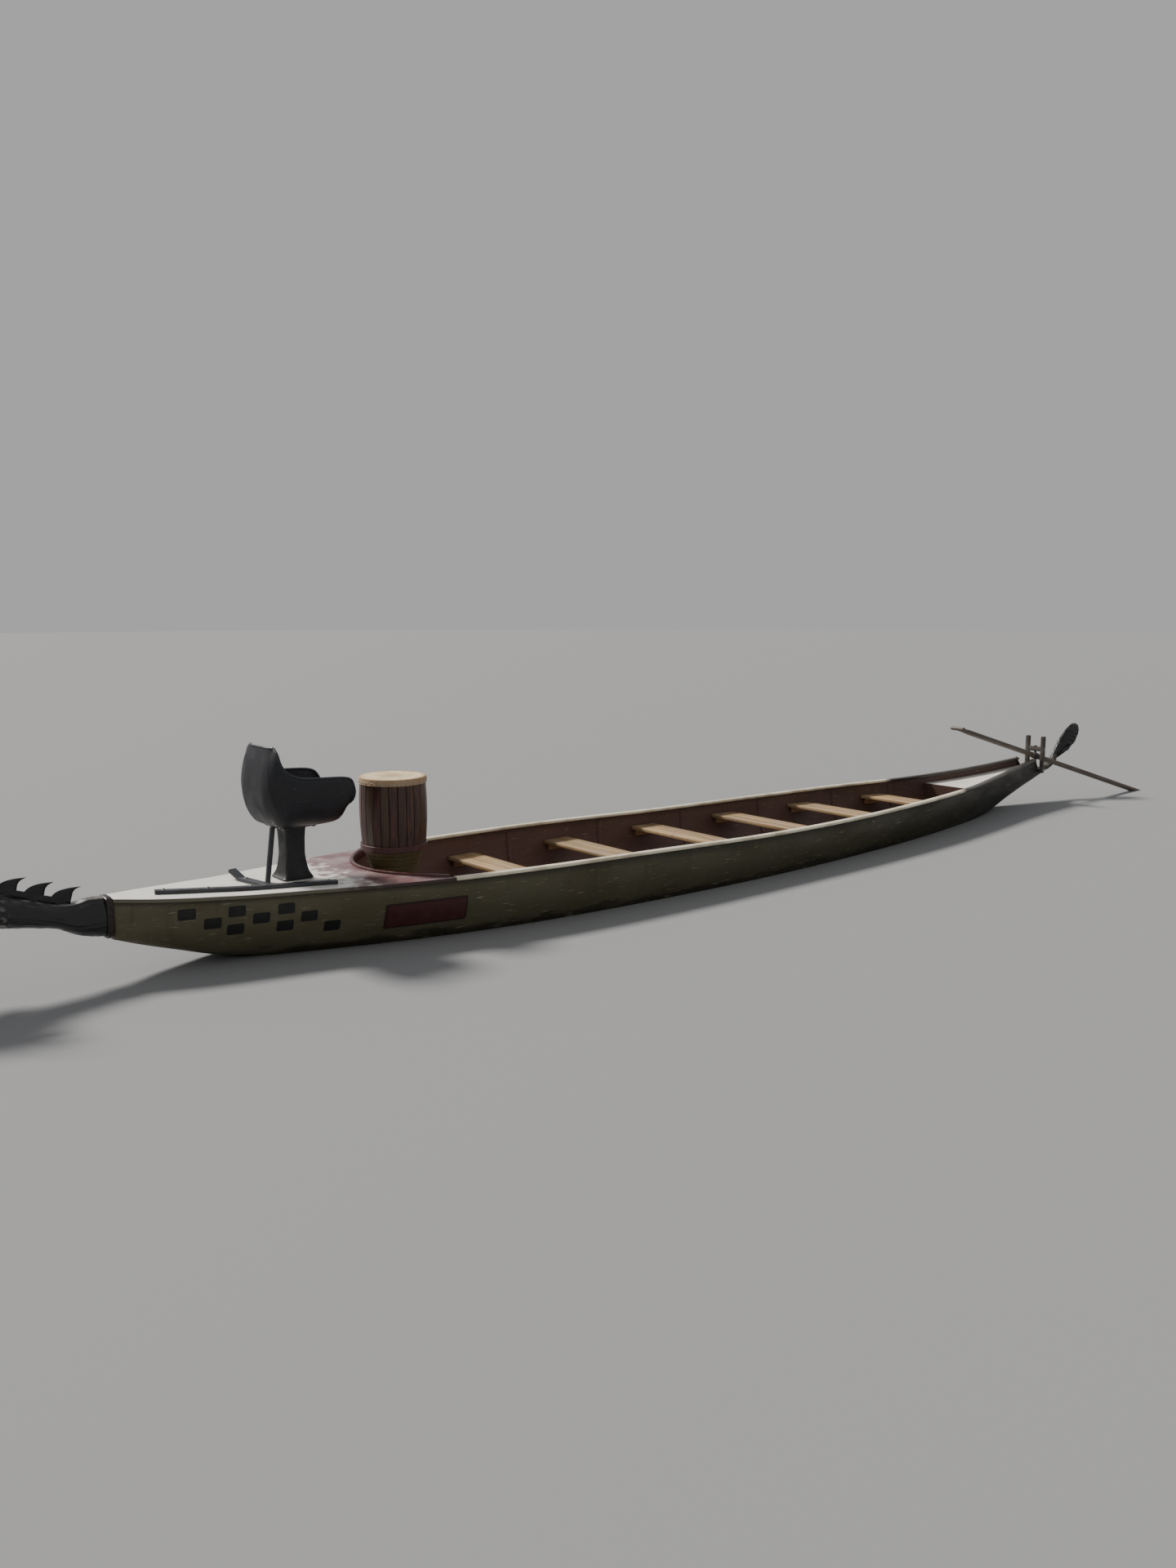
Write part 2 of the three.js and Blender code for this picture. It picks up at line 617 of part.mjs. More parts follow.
const oar = new THREE.Group();
const yaw = THREE.MathUtils.degToRad(OAR_YAW);
const dip = THREE.MathUtils.degToRad(OAR_DIP);
const along = new THREE.Vector3(
  -Math.cos(dip) * Math.cos(yaw), Math.cos(dip) * Math.sin(yaw), -Math.sin(dip),
);
const across = new THREE.Vector3(0, 0, 1).cross(along).normalize();
const square = along.clone().cross(across);
oar.quaternion.setFromRotationMatrix(new THREE.Matrix4().makeBasis(along, across, square));
oar.position.set(...PIVOT);
boat.add(oar);

const lathe = (profile, sides) => (
  new THREE.LatheGeometry(profile.map(([r, z]) => new THREE.Vector2(r, z)), sides)
    .rotateX(Math.PI / 2)
);
const alongX = (geometry) => geometry.rotateY(Math.PI / 2);

const SWIVEL = { inner: 22.8, outer: 29, half: 17 };
const STOP = { radius: 27, length: 14, play: 5 };
const GRIP = { at: -960, radius: 17, half: 75 };
const SHAFT = { inboard: GRIP.at, outboard: 1470 };
const stopStart = SWIVEL.half + STOP.play;
const shaftProfile = [
  [0, SHAFT.inboard],
  [18, SHAFT.inboard],
  [SHAFT_RADIUS, SHAFT.inboard + 120],
  [SHAFT_RADIUS, -stopStart - STOP.length],
  [STOP.radius, -stopStart - STOP.length],
  [STOP.radius, -stopStart],
  [SHAFT_RADIUS, -stopStart],
  [SHAFT_RADIUS, stopStart],
  [STOP.radius, stopStart],
  [STOP.radius, stopStart + STOP.length],
  [SHAFT_RADIUS, stopStart + STOP.length],
  [SHAFT_RADIUS, SHAFT.outboard],
  [0, SHAFT.outboard],
];
const gripProfile = [
  [0, -GRIP.half], [13, -GRIP.half], [GRIP.radius, -GRIP.half + 8],
  [GRIP.radius, GRIP.half - 8], [13, GRIP.half], [0, GRIP.half],
];
const grip = lathe(gripProfile, 14).rotateX(Math.PI / 2).translate(GRIP.at, 0, 0);
addPiece('oar_shaft', joined(alongX(lathe(shaftProfile, 16)), grip), 'timber', oar);

// Stations of the blade: distance from the pivot, half width, half thickness
const BLADE = [
  [SHAFT.outboard + GAP, 22, 21],
  [1540, 42, 17],
  [1630, 70, 12],
  [1780, 93, 9],
  [1960, 100, 7],
  [2055, 97, 5],
  [2085, 84, 4],
];
const blade = loft(BLADE.map(([x, wide, thick]) => Array.from({ length: 12 }, (_, i) => {
  const angle = (i / 12) * 2 * Math.PI;
  return [x, thick * Math.cos(angle), wide * Math.sin(angle)];
})));
addPiece('oar_blade', blade, 'timber', oar);

// Swivel: a ring round the shaft on a pin that turns in the plank above
const ringProfile = [
  [SWIVEL.inner, -SWIVEL.half], [SWIVEL.outer, -SWIVEL.half],
  [SWIVEL.outer, SWIVEL.half], [SWIVEL.inner, SWIVEL.half], [SWIVEL.inner, -SWIVEL.half],
];
const ring = alongX(lathe(ringProfile, 18));
ring.applyQuaternion(oar.quaternion).translate(...PIVOT);
const pinBottom = PIVOT[2] + SWIVEL.inner + 3.5;
const pinTop = CROSSBAR.top + 0.5;
const pin = new THREE.CylinderGeometry(PIN.radius, PIN.radius, pinTop + 2 - pinBottom, 14)
  .rotateX(Math.PI / 2)
  .translate(PIVOT[0], PIVOT[1], (pinBottom + pinTop + 2) / 2);
const pinHead = new THREE.CylinderGeometry(PIN.head, PIN.head, PIN.headHeight, 14)
  .rotateX(Math.PI / 2)
  .translate(PIVOT[0], PIVOT[1], pinTop + PIN.headHeight / 2);
addPiece('oar_swivel', joined(ring, pin, pinHead), 'steel');

// Drum: a barrel of staves with a skin head, a hoop and a tapered stand on its thwart

const turned = (profile, sides, x) => lathe(profile, sides).translate(x, 0, 0);
const STAVE = 16;
const DRUM_SIDES = 28;
const DRUM_HOOP = { bottom: DRUM_BOTTOM, top: DRUM_BOTTOM + 34, radius: DRUM_RADIUS + 4 };
const drumShell = [
  [DRUM_RADIUS - STAVE, DRUM_BOTTOM], [DRUM_RADIUS - 4, DRUM_BOTTOM],
  [DRUM_RADIUS - 4, DRUM_HOOP.top], [DRUM_RADIUS + 4, 600], [DRUM_RADIUS + 4, 700],
  [DRUM_RADIUS - 2, DRUM_TOP - 6 - GAP], [DRUM_RADIUS - STAVE, DRUM_TOP - 6 - GAP],
  [DRUM_RADIUS - STAVE, DRUM_BOTTOM],
];
addPiece('drum_shell', turned(drumShell, DRUM_SIDES, DRUM_X), 'stave');
const drumHead = [
  [0, DRUM_TOP - 6], [DRUM_RADIUS + 2, DRUM_TOP - 6], [DRUM_RADIUS + 2, DRUM_TOP - 2],
  [DRUM_RADIUS - 4, DRUM_TOP], [0, DRUM_TOP],
];
addPiece('drum_head', turned(drumHead, DRUM_SIDES, DRUM_X), 'skin');
const drumHoop = [
  [DRUM_RADIUS - 4 + GAP, DRUM_HOOP.bottom], [DRUM_HOOP.radius, DRUM_HOOP.bottom],
  [DRUM_HOOP.radius, DRUM_HOOP.top - 1], [DRUM_RADIUS - 4 + GAP, DRUM_HOOP.top - 1],
  [DRUM_RADIUS - 4 + GAP, DRUM_HOOP.bottom],
];
addPiece('drum_hoop', turned(drumHoop, DRUM_SIDES, DRUM_X), 'oxblood');
const STAND = { bottom: BENCH_TOP + GAP, top: DRUM_BOTTOM - GAP, foot: 112, head: 158, wall: 18 };
const standProfile = [
  [STAND.foot - STAND.wall, STAND.bottom], [STAND.foot, STAND.bottom],
  [STAND.head, STAND.top - 20], [STAND.head + 10, STAND.top],
  [STAND.head - STAND.wall, STAND.top], [STAND.foot - STAND.wall, STAND.bottom],
];
addPiece('drum_stand', turned(standProfile, 20, DRUM_X), 'bench');

// Drummer's seat: a moulded bucket that faces aft, on a column, a strut and two flat bars

const deckTop = (x) => hullAt(x).sheer;
// Stations of the bucket: x and z on the middle line, half width, x and z at the rim
const BUCKET = [
  [2836, 724, 188, 2832, 806],
  [2866, 694, 206, 2858, 858],
  [2900, 650, 216, 2896, 876],
  [2990, 636, 219, 2982, 884],
  [3100, 636, 219, 3074, 888],
  [3220, 636, 218, 3150, 896],
  [3262, 664, 214, 3198, 914],
  [3298, 728, 207, 3230, 940],
  [3314, 820, 196, 3250, 980],
  [3302, 940, 172, 3254, 1022],
  [3268, 1048, 134, 3254, 1052],
];
const SHELL = 8;
const bucketOuter = BUCKET.map(([x, z, half, rimX, rimZ]) => range(-1, 1, 12).map((v) => {
  const climb = (Math.max(0, Math.abs(v) - 0.35) / 0.65) ** 1.6;
  const y = half * Math.sin((v * Math.PI) / 2);
  return new THREE.Vector3(x + (rimX - x) * climb, y, z + (rimZ - z) * climb);
}));
// The same surface moved towards the sitter by the shell's thickness
const bucketInner = bucketOuter.map((row, i) => row.map((point, j) => {
  const [before, after] = [bucketOuter[i - 1] ?? row, bucketOuter[i + 1] ?? row];
  const upward = after[j].clone().sub(before[j]);
  const sideways = (row[j + 1] ?? point).clone().sub(row[j - 1] ?? point);
  return point.clone().addScaledVector(upward.cross(sideways).normalize(), SHELL);
}));
const bucket = [bucketOuter, bucketInner].map((grid) => grid.map((row) => row.map((p) => p.toArray())));
addPiece('seat_shell', slab(...bucket), 'plastic');

const BAR = { thickness: 18, half: 22 };
// A flat bar laid on the deck from one point to another
function deckBar([x0, y0], [x1, y1], steps, lift) {
  const [dx, dy] = [x1 - x0, y1 - y0];
  const length = Math.hypot(dx, dy);
  const [nx, ny] = [(-dy / length) * BAR.half, (dx / length) * BAR.half];
  return loft(range(0, 1, steps).map((t) => {
    const [x, y] = [x0 + dx * t, y0 + dy * t];
    const z = deckTop(x) + 1 + lift * Math.max(0, t - 0.75) * 4;
    return [
      [x + nx, y + ny, z], [x + nx, y + ny, z + BAR.thickness],
      [x - nx, y - ny, z + BAR.thickness], [x - nx, y - ny, z],
    ];
  }));
}
const longBar = deckBar([2990, 260], [3840, 20], 6, 0);
const crossBar = deckBar([3312, 169], [3375, -150], 8, 34);
addPiece('seat_bars', joined(longBar, crossBar), 'steel');

// Square sections of the column: z, half size
const columnFoot = deckTop(SEAT_X + 84) + GAP;
const COLUMN = [
  [columnFoot, 84],
  [columnFoot + 35, 68],
  [columnFoot + 90, 57],
  [columnFoot + 150, 52],
  [PAN_UNDERSIDE - 20, 58],
  [PAN_UNDERSIDE - 8, 60],
  [PAN_UNDERSIDE - 8, 105],
  [PAN_UNDERSIDE - GAP, 105],
];
const squareRing = (x, y, z, half) => (
  [[x + half, y + half, z], [x - half, y + half, z], [x - half, y - half, z], [x + half, y - half, z]]
);
const column = loft(COLUMN.map(([z, half]) => squareRing(SEAT_X, 0, z, half)));
addPiece('seat_column', column, 'plastic');
addPiece('seat_strut', loft([
  squareRing(3268, 40, deckTop(3280) + GAP, 12),
  squareRing(3230, 40, PAN_UNDERSIDE - GAP, 12),
]), 'steel');

export default boat;
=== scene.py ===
# %% [markdown]
# # A ten-seat dragon boat
# The boat is a long shallow hull with a carved head and tail, and a drum on it gives the stroke.
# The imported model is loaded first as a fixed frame. Every piece made below is in metres in that
# frame: X runs forward to the bow, Y to port, Z up, and the origin is on the waterline.

# %% Frame
import math

import bpy
import numpy as np
from mathutils import Matrix


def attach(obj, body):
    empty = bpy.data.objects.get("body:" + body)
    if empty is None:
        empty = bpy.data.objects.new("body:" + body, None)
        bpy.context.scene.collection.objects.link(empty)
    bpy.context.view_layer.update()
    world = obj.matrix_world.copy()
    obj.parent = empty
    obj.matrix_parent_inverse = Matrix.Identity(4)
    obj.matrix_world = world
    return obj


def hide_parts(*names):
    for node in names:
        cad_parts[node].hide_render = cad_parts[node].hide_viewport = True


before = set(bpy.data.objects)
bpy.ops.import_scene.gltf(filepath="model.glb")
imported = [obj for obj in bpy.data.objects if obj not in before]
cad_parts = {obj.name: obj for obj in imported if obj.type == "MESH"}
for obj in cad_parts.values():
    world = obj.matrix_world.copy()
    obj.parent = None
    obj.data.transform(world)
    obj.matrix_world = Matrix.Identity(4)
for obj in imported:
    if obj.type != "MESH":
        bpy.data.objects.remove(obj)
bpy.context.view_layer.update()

# %% [markdown]
# ## Camera
# The photograph was taken from standing height, off the port bow. The camera's place was worked out
# from the horizon and the two ends of the waterline. Blender's lens is the focal length in pixels,
# taken as a share of the image's long side, times the sensor's 36 mm.

# %% Camera
EYE = (5.857, 5.776, 1.8)
FORWARD = np.array([-0.62713, -0.76383, -0.15256])
UP = np.array([-0.09680, -0.11791, 0.98829])
FOCAL_PIXELS, LONG_SIDE_PIXELS, SENSOR = 1490, 1920, 36

camera = bpy.data.objects.new("camera", bpy.data.cameras.new("camera"))
bpy.context.scene.collection.objects.link(camera)
camera.data.lens = FOCAL_PIXELS / LONG_SIDE_PIXELS * SENSOR
camera.data.sensor_width = SENSOR
right = np.cross(FORWARD, UP)
turn = np.eye(4)
turn[:3, 0], turn[:3, 1], turn[:3, 2], turn[:3, 3] = right, UP, -FORWARD, EYE
camera.matrix_world = Matrix(turn.tolist())
bpy.context.scene.camera = camera
print("lens", round(camera.data.lens, 2), "mm")

# %% [markdown]
# ## Smooth curves from short tables
# A boatbuilder's table of offsets lists the shape at a few stations, and a batten bent through them
# gives the rest. A cubic through each pair of rows, with slopes taken from the rows on either side,
# does the same as the batten.

# %% Curves through tables
def faired(stations, values, at):
    """Cubic through the rows: at each row the slope is the rise between its two neighbours over
    their distance, and at the two ends it is the slope of the one span there."""
    stations, values = np.asarray(stations, float), np.asarray(values, float)
    at = np.asarray(at, float)
    if stations[0] > stations[-1]:
        stations, values = stations[::-1], values[::-1]
    if values.ndim == 1:
        return faired(stations, values[:, None], at)[..., 0]
    slopes = np.empty_like(values)
    slopes[1:-1] = (values[2:] - values[:-2]) / (stations[2:] - stations[:-2])[:, None]
    slopes[0] = (values[1] - values[0]) / (stations[1] - stations[0])
    slopes[-1] = (values[-1] - values[-2]) / (stations[-1] - stations[-2])
    i = np.clip(np.searchsorted(stations, at, side="right") - 1, 0, len(stations) - 2)
    span = (stations[i + 1] - stations[i])[..., None]
    t = ((at - stations[i]) / span[..., 0])[..., None]
    return ((2 * t**3 - 3 * t**2 + 1) * values[i] + (t**3 - 2 * t**2 + t) * span * slopes[i]
            + (3 * t**2 - 2 * t**3) * values[i + 1] + (t**3 - t**2) * span * slopes[i + 1])


def through(points, count):
    """A path of count points through a few points, spaced by the distance between them."""
    points = np.asarray(points, float)
    along = np.concatenate([[0], np.cumsum(np.linalg.norm(np.diff(points, axis=0), axis=1))])
    return faired(along, points, np.linspace(0, along[-1], count))


def eased(t):
    """0 up to t = 0, 1 from t = 1, and a smooth step between them."""
    t = np.clip(t, 0, 1)
    return t * t * (3 - 2 * t)


def unit(vectors):
    """The same directions, each with length 1."""
    return vectors / np.linalg.norm(vectors, axis=-1, keepdims=True)


def square_to(path, upward):
    """Two directions across a path at each of its points: upward x tangent, and tangent x that."""
    tangent = unit(np.gradient(path, axis=0))
    side = unit(np.cross(np.broadcast_to(upward, path.shape), tangent))
    return side, np.cross(tangent, side)

# %% [markdown]
# ## Surfaces
# Every piece is a row of rings, as the frames of a boat are. The sides join each ring to the next,
# and each end is closed by strips of quads between opposite points of its ring, so a ring has an
# even number of points. Each face gets texture coordinates in metres: U runs along the piece and V
# round it, which is how the grain of a plank runs. Two more values go with each point: relief, how
# deep the carving is there, and tone, which sets one board off from the next.

# %% Rings to faces
def loft(rings, tone=0.5, relief=0.0, around_u=False):
    """Quads between ring r and ring r + 1 and between point i and point i + 1, the last point
    joined to the first, then the ends closed, unless the rings themselves close into a circle."""
    rings = np.asarray(rings, float)
    n, m = rings.shape[:2]
    index = np.arange(n * m).reshape(n, m)
    nxt = np.roll(index, -1, axis=1)
    if around_u:
        r0, r1 = np.arange(n), np.roll(np.arange(n), -1)
    else:
        r0, r1 = np.arange(n - 1), np.arange(1, n)
    quads = np.stack([index[r0], nxt[r0], nxt[r1], index[r1]], -1).reshape(-1, 4)
    steps = np.linalg.norm(np.diff(rings, axis=0, append=rings[:1]), axis=2).mean(axis=1)
    u = np.concatenate([[0], np.cumsum(steps)])
    widths = np.linalg.norm(np.diff(rings, axis=1, append=rings[:, :1]), axis=2)
    v = np.concatenate([np.zeros((n, 1)), np.cumsum(widths, axis=1)], axis=1)
    first, last = v[r0], v[r1]
    u0 = np.broadcast_to(u[r0][:, None], (len(r0), m))
    u1 = np.broadcast_to(u[r0 + 1][:, None], (len(r0), m))
    uv = np.stack([np.stack([u0, first[:, :-1]], -1), np.stack([u0, first[:, 1:]], -1),
                   np.stack([u1, last[:, 1:]], -1), np.stack([u1, last[:, :-1]], -1)], 2)
    uv = uv.reshape(-1, 4, 2)
    if not around_u:
        i = np.arange(m // 2 - 1)
        for ring, flip in ((0, True), (n - 1, False)):
            cap = np.stack([i, i + 1, m - 2 - i, m - 1 - i], -1)
            if flip:
                cap = cap[:, ::-1]
            quads = np.concatenate([quads, index[ring][cap]])
            uv = np.concatenate([uv, rings[ring][cap][..., 1:]])
    spread = np.ones(n * m)
    part = {
        "points": rings.reshape(-1, 3), "quads": quads, "uv": uv,
        "tone": spread * np.ravel(tone) if np.size(tone) in (1, n * m) else np.repeat(tone, m),
        "relief": spread * np.ravel(relief),
    }
    return part if volume(part) > 0 else turned_out(part)


def volume(part):
    """Sum over the faces of a sixth of the triple product of their corners."""
    p, q = part["points"], part["quads"]
    a, b, c, d = (p[q[:, k]] for k in range(4))
    return (np.einsum("ij,ij->i", a, np.cross(b, c)) + np.einsum("ij,ij->i", a, np.cross(c, d))).sum() / 6


def turned_out(part):
    """The same part with every face the other way round."""
    return {**part, "quads": part["quads"][:, ::-1], "uv": part["uv"][:, ::-1]}


def slab(top, under, **more):
    """A plate: each ring goes along a row of the upper grid and back along the lower one."""
    return loft(np.concatenate([np.asarray(top, float), np.asarray(under, float)[:, ::-1]], axis=1), **more)


def together(parts):
    """Several parts as one, with their face numbers moved up past the points before them."""
    starts = np.cumsum([0] + [len(p["points"]) for p in parts[:-1]])
    joined = {key: np.concatenate([p[key] for p in parts]) for key in ("points", "uv", "tone", "relief")}
    joined["quads"] = np.concatenate([p["quads"] + s for p, s in zip(parts, starts)])
    joined["look"] = np.concatenate([p.get("look", np.zeros(len(p["quads"]), int)) for p in parts])
    return joined


def to_starboard(part):
    """The mirror image across the centreline, its faces turned so that they still face out."""
    return turned_out({**part, "points": part["points"] * [1, -1, 1]})


def both_sides(part):
    return together([part, to_starboard(part)])

# %% [markdown]
# A finished part becomes a mesh object at the origin. The arrays go in whole, which is quick and
# leaves the place of every point in the mesh. Edges that turn by more than a set angle stay crisp.

# %% Part to object
def piece(name, part, finishes, body="hull", stands_for=(), crisp=38):
    mesh = bpy.data.meshes.new(name)
    points, quads = part["points"], part["quads"]
    mesh.vertices.add(len(points))
    mesh.vertices.foreach_set("co", points.astype(np.float32).ravel())
    mesh.loops.add(quads.size)
    mesh.loops.foreach_set("vertex_index", quads.astype(np.int32).ravel())
    mesh.polygons.add(len(quads))
    mesh.polygons.foreach_set("loop_start", np.arange(0, quads.size, 4, dtype=np.int32))
    if "look" in part:
        mesh.polygons.foreach_set("material_index", part["look"].astype(np.int32))
    mesh.uv_layers.new(name="UVMap").uv.foreach_set("vector", part["uv"].astype(np.float32).ravel())
    for key in ("tone", "relief"):
        mesh.attributes.new(key, "FLOAT", "POINT").data.foreach_set("value", part[key].astype(np.float32))
    for material in finishes if isinstance(finishes, (list, tuple)) else [finishes]:
        mesh.materials.append(material)
    mesh.polygons.foreach_set("use_smooth", np.ones(len(quads), bool))
    mesh.validate()
    mesh.update(calc_edges=True)
    mesh.set_sharp_from_angle(angle=math.radians(crisp))
    made = bpy.data.objects.new(name, mesh)
    bpy.context.scene.collection.objects.link(made)
    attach(made, body)
    if stands_for:
        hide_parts(*stands_for)
    print(name, len(quads), "faces")
    return made

# %% [markdown]
# ## Small forms that are used again and again
# A board is a long box whose edges were rounded with a plane, so it is an outline swept along a
# path. A turned part is a profile carried round an axis. Each is worked out as one array.

# %% Swept and turned parts
def rounded(width, height, radius, per_corner=3):
    """Outline of a rectangle with round corners: each corner's centre plus a quarter circle."""
    angle = np.linspace(0, np.pi / 2, per_corner)
    turns = [angle + k * np.pi / 2 for k in range(4)]
    centres = [(1, 1), (-1, 1), (-1, -1), (1, -1)]
    reach = np.array([width / 2 - radius, height / 2 - radius])
    arcs = [np.array(c) * reach + radius * np.stack([np.cos(a), np.sin(a)], -1)
            for c, a in zip(centres, turns)]
    return np.concatenate(arcs)


def swept(path, outline, upward=(0, 0, 1), scale=None, **more):
    """The outline carried along the path: its first axis lies along upward x tangent, and its
    second across both. scale widens or narrows it at each point."""
    path = np.asarray(path, float)
    side, over = square_to(path, upward)
    size = np.ones((len(path), 2)) if scale is None else np.asarray(scale, float)
    if size.ndim == 1:
        size = np.stack([size, size], -1)
    flat = outline[None] * size[:, None]
    return loft(path[:, None] + flat[..., :1] * side[:, None] + flat[..., 1:] * over[:, None], **more)


def circle(radius=1.0, count=16):
    angle = np.arange(count) / count * 2 * np.pi
    return radius * np.stack([np.cos(angle), np.sin(angle)], -1)


def turned(profile, centre, axis=(0, 0, 1), count=32, **more):
    """Each pair of the profile, radius and height, becomes a circle round the axis."""
    profile = np.asarray(profile, float)
    axis = unit(np.asarray(axis, float))
    other = np.array([1, 0, 0]) if abs(axis[0]) < 0.9 else np.array([0, 1, 0])
    side = unit(np.cross(axis, other))
    over = np.cross(axis, side)
    spokes = circle(1.0, count)
    spokes = spokes[:, :1] * side + spokes[:, 1:] * over
    return loft(np.asarray(centre) + profile[:, 1, None, None] * axis
                + profile[:, 0, None, None] * spokes[None], **more)


def dome(centre, axis, radius, height, count=12, rings=4):
    """A round button: radius times the cosine and height times the sine of an angle."""
    angle = np.linspace(0, np.pi / 2 * 0.94, rings)
    profile = [(radius * 0.98, -height * 0.4), *zip(radius * np.cos(angle), height * np.sin(angle))]
    return turned(profile, centre, axis, count)

# %% [markdown]
# ## Finishes
# Each finish starts from what the real one is and how it got its surface. One function turns the
# hex colours of a paint chart to the linear light that the renderer counts in, and one adds a node
# with its settings and links. The pattern sizes below are real ones, in metres.

# %% Colours and nodes
def linear(chart, alpha=1.0):
    """sRGB to linear: a thirteenth of the value in deep shade, and near the 2.4th power above."""
    value = np.array([int(chart[i:i + 2], 16) for i in (1, 3, 5)]) / 255
    light = np.where(value <= 0.04045, value / 12.92, ((value + 0.055) / 1.055) ** 2.4)
    return (*light.tolist(), alpha)


def node(tree, kind, inputs=None, out=None, **settings):
    """Adds a node. Inputs are numbers, colours or sockets to link; out picks the socket returned."""
    made = tree.nodes.new(kind)
    for key, value in settings.items():
        setattr(made, key, value)
    for key, value in (inputs or {}).items():
        if isinstance(value, bpy.types.NodeSocket):
            tree.links.new(value, made.inputs[key])
        else:
            made.inputs[key].default_value = value
    return made if out is None else made.outputs[out]


def finish(name, roughness=0.5, metallic=0.0, ior=None, coat=0.0):
    """A new material with its shader's own values set, and the tree to build its pattern in."""
    material = bpy.data.materials.new(name)
    material.use_nodes = True
    tree = material.node_tree
    shader = tree.nodes["Principled BSDF"]
    shader.inputs["Roughness"].default_value = roughness
    shader.inputs["Metallic"].default_value = metallic
    shader.inputs["Coat Weight"].default_value = coat
    if ior:
        shader.inputs["IOR"].default_value = ior
    return material, tree, shader


def patches(tree, where, size, low, high, detail=5.0, offset=0.0):
    """Cloudy noise with blotches of the given size along each axis, pushed to 0 below low and to 1
    above high. Noise lies mostly between 0.3 and 0.7."""
    size = size if isinstance(size, tuple) else (size, size, size)
    grid = node(tree, "ShaderNodeMapping", {
        "Vector": where, "Scale": tuple(1 / s for s in size),
        "Location": (offset, offset * 0.7, offset * 1.3),
    }, out=0)
    cloud = node(tree, "ShaderNodeTexNoise", {"Vector": grid, "Scale": 1.0, "Detail": detail}, out=0)
    return node(tree, "ShaderNodeMapRange", {"Value": cloud, "From Min": low, "From Max": high},
                out=0, interpolation_type="SMOOTHSTEP")


def finished(tree, shader, colour, rough, height, depth):
    """Links the pattern to the shader; height is a mask, and depth how many metres it raises."""
    tree.links.new(colour, shader.inputs["Base Color"])
    if rough is not None:
        tree.links.new(rough, shader.inputs["Roughness"])
    raised = node(tree, "ShaderNodeBump", {"Height": height, "Strength": 1.0, "Distance": depth}, out=0)
    tree.links.new(raised, shader.inputs["Normal"])
